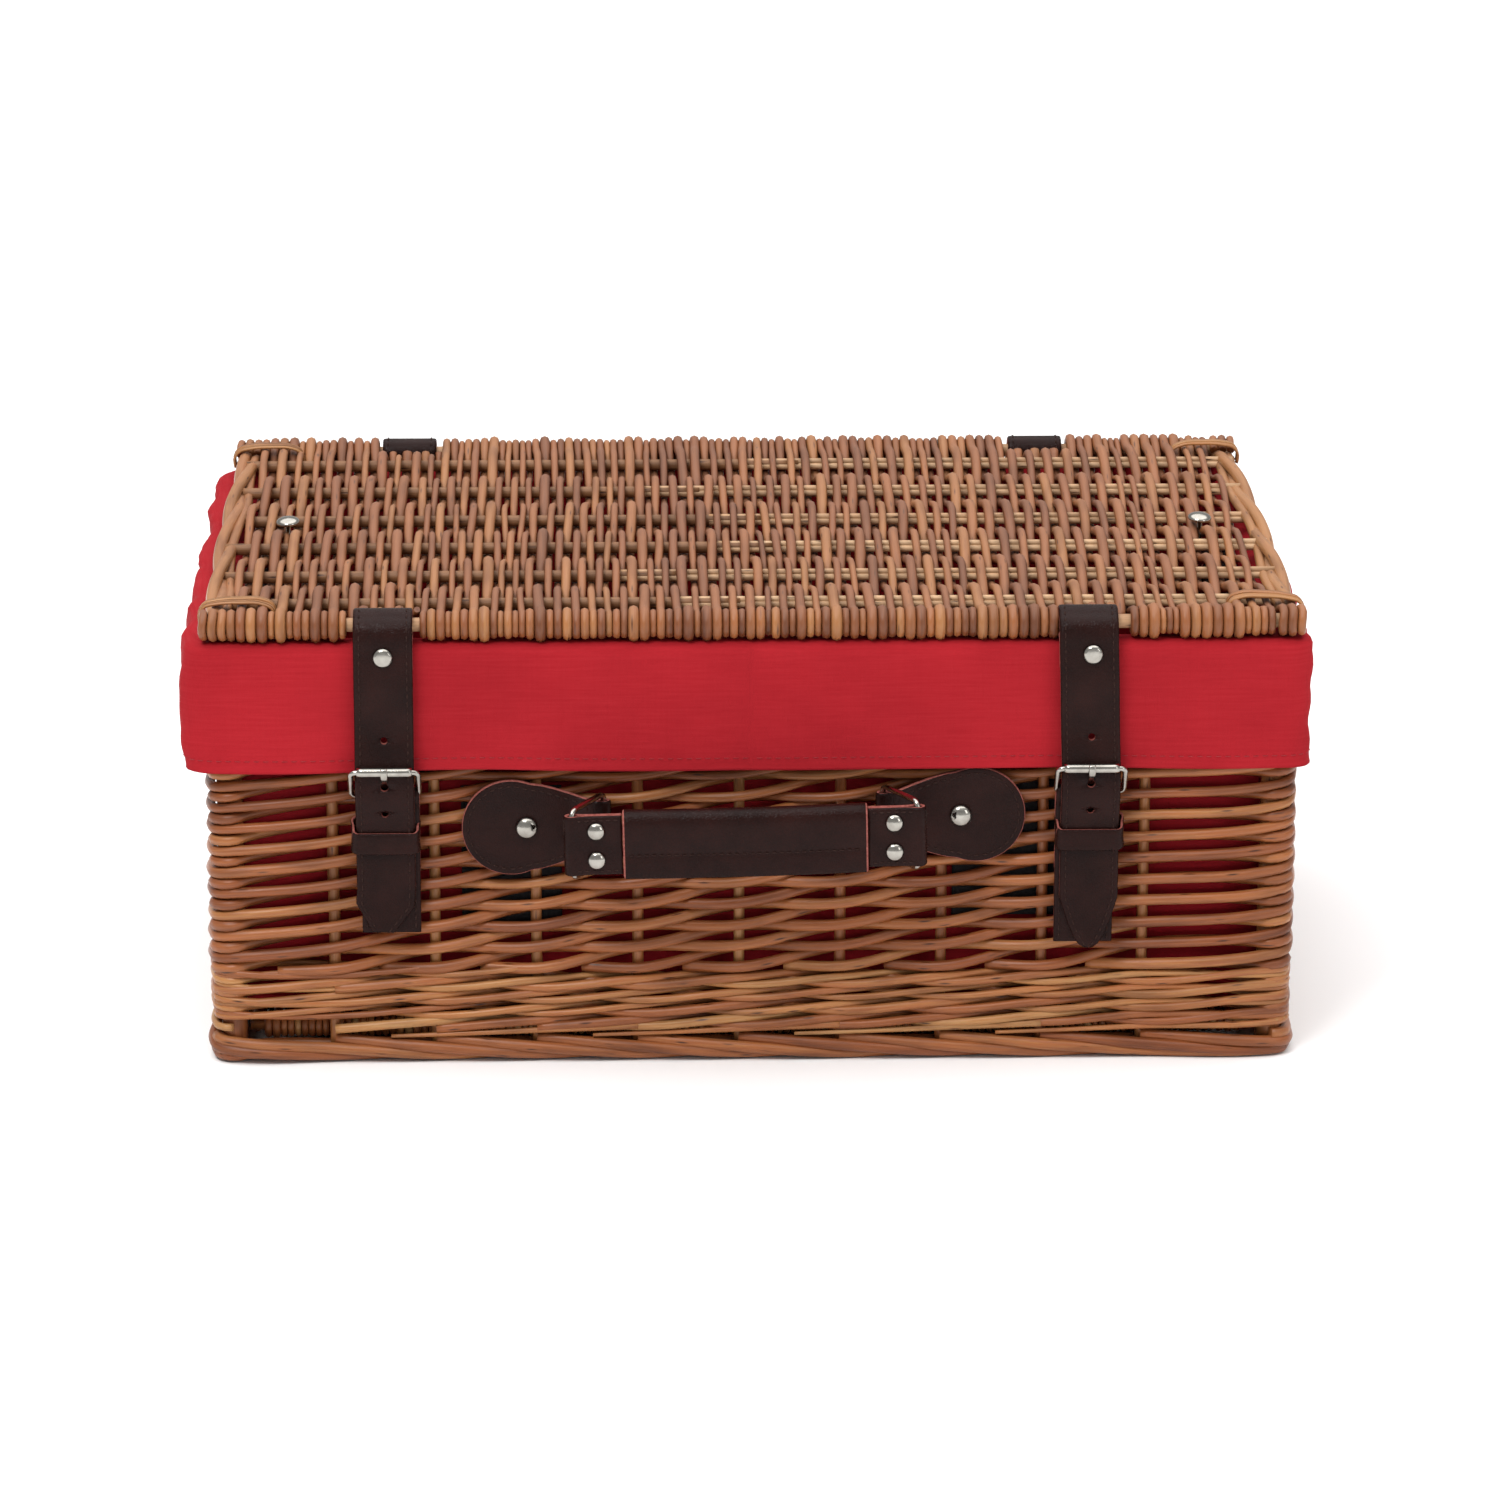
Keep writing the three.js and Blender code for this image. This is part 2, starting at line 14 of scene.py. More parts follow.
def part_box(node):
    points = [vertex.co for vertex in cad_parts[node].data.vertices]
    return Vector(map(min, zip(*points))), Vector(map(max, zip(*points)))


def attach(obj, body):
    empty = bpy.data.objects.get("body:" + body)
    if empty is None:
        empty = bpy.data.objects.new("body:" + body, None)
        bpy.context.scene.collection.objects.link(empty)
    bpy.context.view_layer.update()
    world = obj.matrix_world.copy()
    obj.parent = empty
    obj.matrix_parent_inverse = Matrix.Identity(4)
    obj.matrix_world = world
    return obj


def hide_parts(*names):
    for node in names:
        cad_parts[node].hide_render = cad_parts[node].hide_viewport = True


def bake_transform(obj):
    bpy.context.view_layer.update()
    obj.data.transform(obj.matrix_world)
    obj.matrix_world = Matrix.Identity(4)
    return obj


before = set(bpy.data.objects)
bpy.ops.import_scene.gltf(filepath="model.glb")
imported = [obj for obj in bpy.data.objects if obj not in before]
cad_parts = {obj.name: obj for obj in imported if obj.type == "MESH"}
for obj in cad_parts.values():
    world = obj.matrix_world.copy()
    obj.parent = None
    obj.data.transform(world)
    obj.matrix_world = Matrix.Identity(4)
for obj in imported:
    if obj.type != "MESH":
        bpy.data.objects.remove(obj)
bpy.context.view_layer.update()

MM = 0.001
draw = random.Random(20)
base_low, base_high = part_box("base_weave")
SHIFT = (base_low[1] + base_high[1]) / 2 / MM
SIDES = {"left": -1, "right": 1}
ACROSS_X = np.array((1.0, 0.0, 0.0))
UPRIGHT = np.array((0.0, 0.0, 1.0))

# Sizes shared by several pieces
STICK = (148.0, 191.0)             # the lid's edge sticks: reach from the middle, height
LID_STICKS = (-116, -72, -25, 22, 73, 123)
STRAPS = {"left": -153.0, "right": 140.0}
HINGES = {"left": -150.0, "right": 137.0}
STRAP_HALF = 12.25
BUCKLE_BAR = (-156.4, 120.0)
ROLLER = (-163.8, 132.0)
HANDLE = (-4.0, 106.6)
HANDLE_TILT = math.radians(1.36)
GRIP_PLANE = -179.03
RING_BAR = -154.5
RING_PLACE = 58.0
EYE_PLACE = 71.5
ESCUTCHEON_PLACE = 97.0
STAY_ELBOW = (-42.75, 131.2)
STAY_RIVET = (110.0, 140.0)


# Materials
def srgb(red, green, blue):
    """A linear colour from display values of 0 to 255."""
    def linear(value):
        value /= 255
        return value / 12.92 if value <= 0.04045 else ((value + 0.055) / 1.055) ** 2.4
    return (linear(red), linear(green), linear(blue), 1.0)


class Finish:
    """One procedural material on the Principled shader."""

    def __init__(self, name, **constants):
        self.material = bpy.data.materials.new(name)
        self.material.use_nodes = True
        self.tree = self.material.node_tree
        self.shader = next(n for n in self.tree.nodes if n.type == "BSDF_PRINCIPLED")
        for socket, value in constants.items():
            self.shader.inputs[socket.replace("_", " ")].default_value = value

    def node(self, kind, inputs, **settings):
        made = self.tree.nodes.new(kind)
        for key, value in settings.items():
            setattr(made, key, value)
        for socket, value in inputs.items():
            if isinstance(value, bpy.types.NodeSocket):
                self.tree.links.new(value, made.inputs[socket])
            else:
                made.inputs[socket].default_value = value
        return made

    def number(self, name):
        return self.node("ShaderNodeAttribute", {}, attribute_name=name).outputs["Fac"]

    def grain(self, scale):
        place = self.node("ShaderNodeAttribute", {}, attribute_name="grain").outputs["Vector"]
        return self.node("ShaderNodeMapping", {"Vector": place, "Scale": scale}).outputs["Vector"]

    def noise(self, scale, detail=3.0, roughness=0.55):
        return self.node("ShaderNodeTexNoise", {
            "Vector": self.grain(scale), "Scale": 1.0, "Detail": detail, "Roughness": roughness,
        }).outputs["Fac"]

    def cells(self, scale, feature="F1"):
        return self.node("ShaderNodeTexVoronoi", {
            "Vector": self.grain(scale), "Scale": 1.0,
        }, feature=feature).outputs["Distance"]

    def maths(self, operation, first, second=0.0, clamp=False):
        return self.node("ShaderNodeMath", {0: first, 1: second},
                         operation=operation, use_clamp=clamp).outputs[0]

    def spread(self, value, low, high, to_low=0.0, to_high=1.0):
        return self.node("ShaderNodeMapRange", {
            "Value": value, "From Min": low, "From Max": high, "To Min": to_low, "To Max": to_high,
        }).outputs[0]

    def ramp(self, value, *stops):
        made = self.node("ShaderNodeValToRGB", {"Fac": value})
        elements = made.color_ramp.elements
        while len(elements) < len(stops):
            elements.new(0.5)
        for element, (place, colour) in zip(elements, stops):
            element.position = place
            element.color = colour
        return made.outputs["Color"]

    def mix(self, factor, first, second, how="MIX"):
        return self.node("ShaderNodeMixRGB", {"Fac": factor, "Color1": first, "Color2": second},
                         blend_type=how).outputs["Color"]

    def colour(self, socket):
        self.tree.links.new(socket, self.shader.inputs["Base Color"])

    def rough(self, socket):
        self.tree.links.new(socket, self.shader.inputs["Roughness"])

    def bump(self, height, depth_mm, strength=1.0):
        made = self.node("ShaderNodeBump", {
            "Height": height, "Strength": strength, "Distance": depth_mm * MM,
        })
        self.tree.links.new(made.outputs["Normal"], self.shader.inputs["Normal"])


def willow(name, stops, top=None, gloss=0.34):
    """Buff willow: a tone for each rod, streaks along it, dull blotches and dark bud scars. With a top
    colour, painted light from above on the upward-facing sides.
    """
    finish = Finish(name, Specular_IOR_Level=0.36)
    streaks = finish.noise((1400, 1400, 55), 4.0)
    blotches = finish.noise((160, 160, 28), 2.0)
    shade = finish.maths("ADD", finish.number("tone"), finish.spread(streaks, 0.25, 0.75, -0.14, 0.14))
    colour = finish.ramp(shade, *stops)
    colour = finish.mix(1.0, colour, finish.ramp(
        blotches, (0.3, (0.62, 0.58, 0.55, 1)), (0.52, (1, 1, 1, 1)), (0.75, (1.14, 1.08, 1.0, 1)),
    ), "MULTIPLY")
    scars = finish.spread(finish.cells((330, 330, 48)), 0.05, 0.17)
    colour = finish.mix(scars, srgb(62, 32, 18), colour)
    roughness = finish.spread(blotches, 0.2, 0.8, gloss + 0.16, gloss - 0.06)
    # Painted light from above: where the rod's surface faces up, its colour is mixed towards the paler,
    # greyer top colour and made rougher.
    if top:
        painted_top_light = finish.spread(finish.number("up"), 0.25, 0.9, 0.0, 0.62)
        colour = finish.mix(painted_top_light, colour, finish.mix(0.5, colour, top))
        roughness = finish.maths("ADD", roughness, finish.maths("MULTIPLY", painted_top_light, 0.4))
    finish.colour(colour)
    finish.rough(roughness)
    finish.bump(finish.maths("ADD", streaks, finish.maths("MULTIPLY", scars, 0.6)), 0.22, 0.6)
    return finish.material


def leather(name, dark, light, gloss, pores):
    finish = Finish(name, Specular_IOR_Level=0.09)
    clouds = finish.noise((55, 55, 55), 4.0)
    fine = finish.noise((pores, pores, pores), 3.0)
    creases = finish.cells((pores * 0.7,) * 3, "DISTANCE_TO_EDGE")
    finish.colour(finish.ramp(
        finish.maths("ADD", clouds, finish.spread(fine, 0.3, 0.7, -0.1, 0.1)), (0.3, dark), (0.72, light),
    ))
    finish.rough(finish.spread(clouds, 0.25, 0.75, gloss + 0.1, gloss - 0.06))
    height = finish.maths("ADD", fine, finish.spread(creases, 0.0, 0.2))
    finish.bump(height, 0.12, 0.5)
    return finish.material


def cotton():
    finish = Finish("red_cotton", Specular_IOR_Level=0.08)
    weft = finish.noise((40, 900, 40), 3.0)
    warp = finish.noise((900, 30, 40), 3.0)
    clouds = finish.noise((14, 14, 14), 3.0)
    slubs = finish.maths("ADD", finish.maths("MULTIPLY", weft, 0.8), finish.maths("MULTIPLY", warp, 0.2))
    colour = finish.ramp(slubs, (0.2, srgb(154, 28, 36)), (0.5, srgb(161, 31, 39)),
                         (0.85, srgb(168, 35, 43)))
    colour = finish.mix(1.0, colour, finish.ramp(
        clouds, (0.3, (0.84, 0.8, 0.82, 1)), (0.65, (1, 1, 1, 1))), "MULTIPLY")
    finish.colour(colour)
    finish.rough(finish.spread(slubs, 0.3, 0.7, 0.9, 0.76))
    threads = finish.maths("ADD", finish.noise((250, 2600, 250), 1.0), finish.noise((2600, 250, 250), 1.0))
    finish.bump(threads, 0.14, 0.55)
    return finish.material


def plain(name, dark, light, scale, roughness, depth=0.1, **constants):
    """A material whose colour and roughness wander a little between two values."""
    finish = Finish(name, **constants)
    clouds = finish.noise((scale,) * 3, 4.0)
    finish.colour(finish.ramp(clouds, (0.3, dark), (0.7, light)))
    finish.rough(finish.spread(clouds, 0.3, 0.7, *roughness))
    if depth:
        finish.bump(clouds, depth, 0.5)
    return finish.material


WALL_TONES = (
    (0.0, srgb(88, 41, 19)), (0.3, srgb(124, 67, 34)), (0.55, srgb(147, 87, 48)),
    (0.8, srgb(164, 113, 66)), (1.0, srgb(179, 139, 92)),
)
LID_TONES = (
    (0.0, srgb(94, 51, 29)), (0.3, srgb(126, 74, 43)),
    (0.6, srgb(145, 90, 53)), (1.0, srgb(165, 117, 71)),
)
PALE_TONES = (
    (0.0, srgb(120, 82, 52)), (0.4, srgb(146, 104, 70)),
    (0.6, srgb(178, 138, 102)), (1.0, srgb(206, 170, 132)),
)
WALL_WILLOW = willow("willow_wall", WALL_TONES)
# The lid's top colour is painted light from above, laid on the upward-facing sides of its rods.
LID_WILLOW = willow("willow_lid", LID_TONES, top=srgb(152, 113, 91))
PALE_WILLOW = willow("willow_pale", PALE_TONES, gloss=0.5)
COTTON = cotton()
LEATHER = leather("brown_leather", srgb(25, 11, 9), srgb(39, 18, 15), 0.22, 1500)
RAW_LEATHER = plain("raw_leather", srgb(118, 60, 53), srgb(160, 94, 85), 900, (0.85, 0.7),
                    Specular_IOR_Level=0.15)
THREAD = plain("thread", srgb(32, 20, 18), srgb(58, 39, 34), 1800, (0.8, 0.6), Specular_IOR_Level=0.08)
RED_THREAD = plain("red_thread", srgb(128, 14, 24), srgb(158, 22, 32), 1800, (0.8, 0.65))
NICKEL = plain("nickel", (0.3, 0.28, 0.25, 1), (0.42, 0.4, 0.36, 1), 260, (0.2, 0.12), 0.0, Metallic=1.0)
FELT = plain("grey_felt", srgb(30, 27, 28), srgb(46, 42, 43), 700, (0.95, 0.85), 0.3)
LEATHERS = (LEATHER, RAW_LEATHER, THREAD)


# Shapes
def placed(points):
    """Millimetres in the basket's frame to metres in the row's frame."""
    points = np.array(points, float)
    points[..., 1] += SHIFT
    return points * MM


def spot(x, y, z):
    return tuple(placed((x, y, z)))


def unit(vectors):
    vectors = np.asarray(vectors, float)
    return vectors / np.linalg.norm(vectors, axis=-1, keepdims=True)


def smooth(keys, step):
    """Points every step millimetres or so on a smooth line through the keys."""
    keys = np.asarray(keys, float)
    times = np.concatenate(([0.0], np.cumsum(np.linalg.norm(np.diff(keys, axis=0), axis=1))))
    slopes = np.gradient(keys, times, axis=0)
    t = np.linspace(0.0, times[-1], max(3, int(times[-1] / step) + 1))
    k = np.clip(np.searchsorted(times, t, side="right") - 1, 0, len(times) - 2)
    span = (times[k + 1] - times[k])[:, None]
    u = (t - times[k])[:, None] / span
    return (
        (1 + 2 * u) * (1 - u) ** 2 * keys[k] + u * (1 - u) ** 2 * span * slopes[k]
        + u ** 2 * (3 - 2 * u) * keys[k + 1] - u ** 2 * (1 - u) * span * slopes[k + 1]
    )


def arc(centre, radius, first, last, count):
    """Points round a centre, between two angles in degrees."""
    turns = np.radians(np.linspace(first, last, count))
    return [(centre[0] + radius * math.cos(a), centre[1] + radius * math.sin(a)) for a in turns]


def across_x(line, x):
    """A line drawn in the upright plane that faces x."""
    return [(x, y, z) for y, z in line]


def rounded_loop(corners, radius, steps=4):
    """A closed line through rounded corners, its first point repeated at the end."""
    corners = np.asarray(corners, float)
    line = []
    for before, corner, after in zip(np.roll(corners, 1, 0), corners, np.roll(corners, -1, 0)):
        start = corner + unit(before - corner) * radius
        end = corner + unit(after - corner) * radius
        for u in np.linspace(0, 1, steps + 1):
            line.append((1 - u) ** 2 * start + 2 * u * (1 - u) * corner + u ** 2 * end)
    return np.array(line + [line[0], line[1]])


def handle_frame(points):
    """From the handle's own level frame to the basket's, where it hangs a little askew."""
    points = np.asarray(points, float)
    x, y, z = points[..., 0], points[..., 1], points[..., 2]
    cos, sin = math.cos(HANDLE_TILT), math.sin(HANDLE_TILT)
    return np.stack((HANDLE[0] + x * cos - z * sin, y, HANDLE[1] + x * sin + z * cos), axis=-1)


HANDLE_DOWN = handle_frame((0, 0, -1)) - handle_frame((0, 0, 0))

# Across a band of leather: side, inset from the edge in mm, share of the half thickness
BAND_SECTION = (
    (1, 0.0, -0.6), (1, 0.0, 0.3), (1, 0.5, 0.85), (1, 1.3, 1.0), (0.5, 0.0, 1.0), (0, 0.0, 1.0),
    (-0.5, 0.0, 1.0), (-1, 1.3, 1.0), (-1, 0.5, 0.85), (-1, 0.0, 0.3), (-1, 0.0, -0.6), (-1, 0.4, -0.9),
    (-1, 1.2, -1.0), (0, 0.0, -1.0), (1, 1.2, -1.0), (1, 0.4, -0.9),
)
BAND_EDGES = (0, 9, 10, 15)


class Piece:
    """Gathers the surfaces of one mesh object, with a tone and grain coordinates at each point."""

    def __init__(self, name, materials, slot, body="basket", nodes=()):
        self.name = name
        self.materials = materials
        self.slot = slot
        self.body = body
        self.nodes = nodes
        self.parts = {"points": [], "tone": [], "grain": [], "up": []}
        self.quads = []
        self.quad_materials = []
        self.caps = []
        self.cap_materials = []
        self.total = 0

    def loft(self, rings, tone=0.5, grain=None, up=None, materials=0, cap=0):
        """Skin a row of closed rings. cap is the material of both ends, or None to leave them open."""
        rows, columns = rings.shape[:2]
        start = self.total + np.arange(rows - 1)[:, None] * columns
        here = np.arange(columns)
        following = (here + 1) % columns
        quads = np.stack(
            (start + here, start + following, start + columns + following, start + columns + here), axis=2,
        )
        self.quads.append(quads.reshape(-1, 4))
        self.quad_materials.append(np.broadcast_to(materials, (rows - 1, columns)).reshape(-1))
        if cap is not None:
            last = self.total + (rows - 1) * columns
            self.caps.append(tuple(range(self.total + columns - 1, self.total - 1, -1)))
            self.caps.append(tuple(range(last, last + columns)))
            self.cap_materials += [cap, cap]
        flat = rings.reshape(-1, 3)
        self.parts["points"].append(flat)
        self.parts["tone"].append(np.full(len(flat), tone))
        self.parts["grain"].append((rings if grain is None else grain).reshape(-1, 3) * MM)
        self.parts["up"].append(np.zeros(len(flat)) if up is None else up.reshape(-1))
        self.total += len(flat)

    def rod(self, path, radius, tone=None, sides=8, material=0):
        """A round rod along a path, with a radius that may change along it."""
        path = np.asarray(path, float)
        radius = np.broadcast_to(np.asarray(radius, float), (len(path),))[:, None, None]
        tangents = unit(np.gradient(path, axis=0))
        side = np.cross(tangents[0], (0, 1, 0) if abs(tangents[0][1]) < 0.8 else (0, 0, 1))
        rights = []
        for tangent in tangents:
            side = side - tangent * side.dot(tangent)
            side = side / math.sqrt(side.dot(side))
            rights.append(side)
        rights = np.array(rights)
        ups = np.cross(tangents, rights)
        turns = np.linspace(0, 2 * math.pi, sides, endpoint=False)
        cos, sin = np.cos(turns)[None, :, None], np.sin(turns)[None, :, None]
        out = rights[:, None, :] * cos + ups[:, None, :] * sin
        rings = path[:, None, :] + out * radius
        travelled = np.concatenate(([0.0], np.cumsum(np.linalg.norm(np.diff(path, axis=0), axis=1))))
        grain = np.empty_like(rings)
        grain[..., 0] = np.cos(turns)[None, :] * radius[..., 0]
        grain[..., 1] = np.sin(turns)[None, :] * radius[..., 0]
        grain[..., 2] = travelled[:, None]
        grain += (draw.uniform(0, 400), draw.uniform(0, 400), draw.uniform(0, 4000))
        self.loft(rings, draw.random() if tone is None else tone, grain, out[..., 2], material, material)

    def band(self, path, half_width, thickness, across, materials=(0, 1), tone=0.5):
        """A flat strip along a path. The width lies along across; the outer face is on the left of the way
        round. Returns the path's points, outward directions and half widths, for stitching."""
        path = np.asarray(path, float)
        half = np.broadcast_to(np.asarray(half_width, float), (len(path),))
        tangents = unit(np.gradient(path, axis=0))
        sideways = unit(across - tangents * (tangents @ across)[:, None])
        outward = np.cross(tangents, sideways)
        rings = np.empty((len(path), len(BAND_SECTION), 3))
        grain = np.empty_like(rings)
        travelled = np.concatenate(([0.0], np.cumsum(np.linalg.norm(np.diff(path, axis=0), axis=1))))
        for k, (side, inset, share) in enumerate(BAND_SECTION):
            reach = side * np.maximum(half - inset, half * 0.2)
            rings[:, k] = path + sideways * reach[:, None] + outward * share * thickness / 2
            grain[:, k, 0] = reach
            grain[:, k, 1] = share * thickness / 2
            grain[:, k, 2] = travelled
        grain += draw.uniform(0, 500)
        columns = [materials[1] if k in BAND_EDGES else materials[0] for k in range(len(BAND_SECTION))]
        self.loft(rings, tone, grain, None, columns, materials[1])
        return path, outward, half, sideways, thickness

    def stitches(self, line, outward, material=2, length=2.5, gap=1.0, radius=0.36):
        """Thread along a line on a surface, in stitches that dip at both ends."""
        line = np.asarray(line, float)
        steps = np.concatenate(([0.0], np.cumsum(np.linalg.norm(np.diff(line, axis=0), axis=1))))
        outward = np.broadcast_to(outward, line.shape)
        start = gap
        while start + length < steps[-1]:
            at = np.linspace(start, start + length, 4)
            points = np.stack([np.interp(at, steps, line[:, axis]) for axis in range(3)], axis=1)
            lift = np.stack([np.interp(at, steps, outward[:, axis]) for axis in range(3)], axis=1)
            points = points + lift * np.array((-0.25, 0.12, 0.12, -0.25))[:, None]
            self.rod(points, (radius * 0.6, radius, radius, radius * 0.6), 0.5, 6, material)
            start += length + gap

    def edge_stitches(self, made, first=0, last=None, inset=2.4, **settings):
        """Stitches along both edges of a band, between two of its points."""
        path, outward, half, sideways, thickness = made
        part = slice(first, last)
        for side in (-1, 1):
            reach = np.maximum(half - inset, 0.0)[part, None]
            line = path[part] + sideways[part] * side * reach + outward[part] * thickness / 2
            self.stitches(line, outward[part], **settings)

    def lathe(self, centre, way, profile, material=0, segments=28):
        """A turned form: profile is (radius, height) pairs from the foot to the top."""
        way = unit(way)
        first = unit(np.cross(way, (0.3, 0.9, 0.31)))
        second = np.cross(way, first)
        turns = np.linspace(0, 2 * math.pi, segments, endpoint=False)
        out = first * np.cos(turns)[:, None] + second * np.sin(turns)[:, None]
        rings = np.array([np.asarray(centre) + out * radius + way * height for radius, height in profile])
        self.loft(rings, materials=material, cap=material)

    def finish(self):
        mesh = bpy.data.meshes.new(self.name)
        gathered = {key: np.concatenate(values) for key, values in self.parts.items()}
        faces = np.concatenate(self.quads).tolist() + self.caps
        mesh.from_pydata(placed(gathered["points"]).tolist(), [], faces)
        for material in self.materials:
            mesh.materials.append(material)
        flat_caps = [True] * (len(faces) - len(self.caps)) + [False] * len(self.caps)
        chosen = np.concatenate(self.quad_materials).tolist() + self.cap_materials
        mesh.polygons.foreach_set("use_smooth", flat_caps)
        mesh.polygons.foreach_set("material_index", chosen)
        for key, kind, field in (("tone", "FLOAT", "value"), ("up", "FLOAT", "value"),
                                 ("grain", "FLOAT_VECTOR", "vector")):
            layer = mesh.attributes.new(key, kind, "POINT")
            layer.data.foreach_set(field, gathered[key].astype(np.float32).reshape(-1))
        mesh.update()
        made = bpy.data.objects.new(self.name, mesh)
        bpy.context.collection.objects.link(made)
        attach(made, self.body)
        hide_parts(*self.nodes)
        return made


def leather_piece(name, body="basket", *nodes):
    return Piece(name, LEATHERS, "brown_leather", body, nodes)


def nickel_piece(name, body="basket", *nodes):
    return Piece(name, (NICKEL,), "nickel", body, nodes)


def turned_piece(names, *forms):
    """A rivet or a stud, from its names and one (centre, way, profile) for each turned form."""
    piece = nickel_piece(*names)
    for form in forms:
        piece.lathe(*form)
    piece.finish()


def dome_profile(radius, height, rim=0.25):
    rounded = [(radius * math.cos(a), rim + (height - rim) * math.sin(a))
               for a in np.radians((0, 18, 36, 54, 70, 82))]
    return [(radius * 0.96, 0.0)] + rounded + [(radius * 0.03, height)]


def cap_profile(radius, height):
    """A rivet head with a flat top and a bevelled rim."""
    return [(radius * 0.97, 0.0), (radius, height * 0.3), (radius * 0.93, height * 0.62),
            (radius * 0.78, height * 0.9), (radius * 0.66, height), (radius * 0.03, height * 0.97)]


# Stakes and corner posts stand round the basket at numbered stations, from the front left, front first
STAKE_HALF = (220.9, 143.4)
POST_PLACE = (218.3, 140.8)
POST_WRAP = 7.2
FRONT_STAKES = [-175.6 + 42.45 * k for k in range(9)]
SIDE_STAKES = [-101.0 + 40.4 * k for k in range(6)]


def make_stations():
    x, y = STAKE_HALF
    px, py = POST_PLACE
    stations = [((place, -y), (-90, -90)) for place in FRONT_STAKES]
    stations.append(((px, -py), (-90, 0)))
    stations += [((x, place), (0, 0)) for place in SIDE_STAKES]
    stations.append(((px, py), (0, 90)))
    stations += [((place, y), (90, 90)) for place in reversed(FRONT_STAKES)]
    stations.append(((-px, py), (90, 180)))
    stations += [((-x, place), (180, 180)) for place in reversed(SIDE_STAKES)]
    stations.append(((-px, -py), (180, 270)))
    return stations


STATIONS = make_stations()


def is_post(k):
    first, last = STATIONS[k % len(STATIONS)][1]
    return first != last


def station_keys(k, depth, z, slope=0.0, from_inside=False, to_inside=False):
    """The points where a rod passes a station: depth is out from a stake's middle line. Round a corner
    post a rod that comes from the inside, or goes there, hugs the post further round."""
    (x, y), (first, last) = STATIONS[k % len(STATIONS)]
    if first == last:
        turn = math.radians(first)
        return [(x + depth * math.cos(turn), y + depth * math.sin(turn), z)]
    first += -46 if from_inside else 4
    last += 46 if to_inside else -4
    count = 9 if from_inside or to_inside else 5
    return [
        (*point, z + slope * u) for point, u in
        zip(arc((x, y), POST_WRAP + max(0.0, depth - 4.5), first, last, count),
            np.linspace(-0.15, 0.15, count))
    ]


def weave_round(piece, start, steps, depth_of, height_of, radii, tone=None, step=3.4, lead=None):
    """A rod that passes one station after another."""
    keys = list(lead or [])
    for travelled in range(steps + 1):
        k = start + travelled
        slope = height_of(travelled + 1) - height_of(travelled)
        keys += station_keys(
            k, depth_of(travelled), height_of(travelled), slope,
            depth_of(travelled - 1) < 0, depth_of(travelled + 1) < 0,
        )
    path = smooth(keys, step)
    piece.rod(path, np.linspace(*radii, len(path)), tone)


# Walls: randed rods that climb as they pass in front of one stake and behind the next
def make_walls():
    walls = Piece(
        "wall_randing", (WALL_WILLOW,), "willow",
        nodes=["front_wall_weave", "back_wall_weave", "left_wall_weave", "right_wall_weave"],
    )
    bottom, pitch, rows = 41.0, 4.7, 27
    for start in range(len(STATIONS)):
        shakes = [(draw.uniform(-0.35, 0.35), draw.uniform(-0.3, 0.3)) for _ in range(rows + 2)]
        weight = draw.uniform(0.9, 1.08)

        def depth(n):
            return (4.5 if n % 2 == 0 else -3.6) + shakes[min(max(n, 0), rows)][0]

        def height(n):
            lift = 1.6 if n % 2 and not is_post(start + n) else 0.0
            return bottom + pitch * n + lift + shakes[min(n, rows)][1]

        inside = station_keys(start - 1, -4.0, bottom - 1.5)[-1]
        first = station_keys(start, 4.5, bottom)[0]
        lead = [tuple(np.array(inside) * 0.55 + np.array(first) * 0.45)]
        weave_round(walls, start, rows, depth, height, (2.5 * weight, 2.0 * weight),
                    draw.uniform(0.28, 0.66), lead=lead)
    walls.finish()

    stakes = Piece("stakes", (WALL_WILLOW,), "willow", nodes=[
        f"corner_post_{end}_{side}" for end in ("front", "back") for side in SIDES
    ])
    for k, ((x, y), _) in enumerate(STATIONS):
        radius = 5.4 if is_post(k) else draw.uniform(2.25, 2.5)
        heights = np.linspace(3, 177, 24)
        sway = [(x + 0.35 * noise.noise((k * 7.0, z / 40, 0)), y, z) for z in heights]
        stakes.rod(sway, radius, draw.uniform(0.45, 0.8), 10)
    stakes.finish()

    wale = Piece("wale", (WALL_WILLOW,), "willow")
    rounds, rise, low = 4, 6.0, 16.4
    for strand in range(3):
        at = strand
        while at < rounds * len(STATIONS) + strand - 3:
            length = min(draw.randint(16, 24), rounds * len(STATIONS) + strand - at)

            def phase(n):
                return (at + n - strand) % 3

            def depth(n):
                return 4.6 if phase(n) < 2 else -3.2

            def height(n):
                level = low + rise * (at + n - strand) / len(STATIONS)
                if is_post(at + n):
                    return level + (-2.3, 2.3, 0.0)[phase(n)]
                return level + (-1.9, 1.3, 1.0)[phase(n)]

            weave_round(wale, at, length, depth, height, (2.1, 1.25), draw.uniform(0.36, 0.84))
            at += length - 1
    for start in range(0, len(STATIONS), 2):
        if is_post(start) or is_post(start + 1):
            continue
        tip = station_keys(start, 5.2, 11.4)[0]
        away = station_keys(start + 1, 5.2, 11.4)[0]
        lead = [tuple(np.array(tip) * 0.45 + np.array(away) * 0.55)]
        weave_round(wale, start + 1, 2, lambda n: (5.2, 5.2, 5.0, 3.0)[min(n, 3)], lambda n: 12.0 + 1.7 * n,
                    (0.8, 1.7), draw.uniform(0.6, 0.95), lead=lead)
    wale.finish()


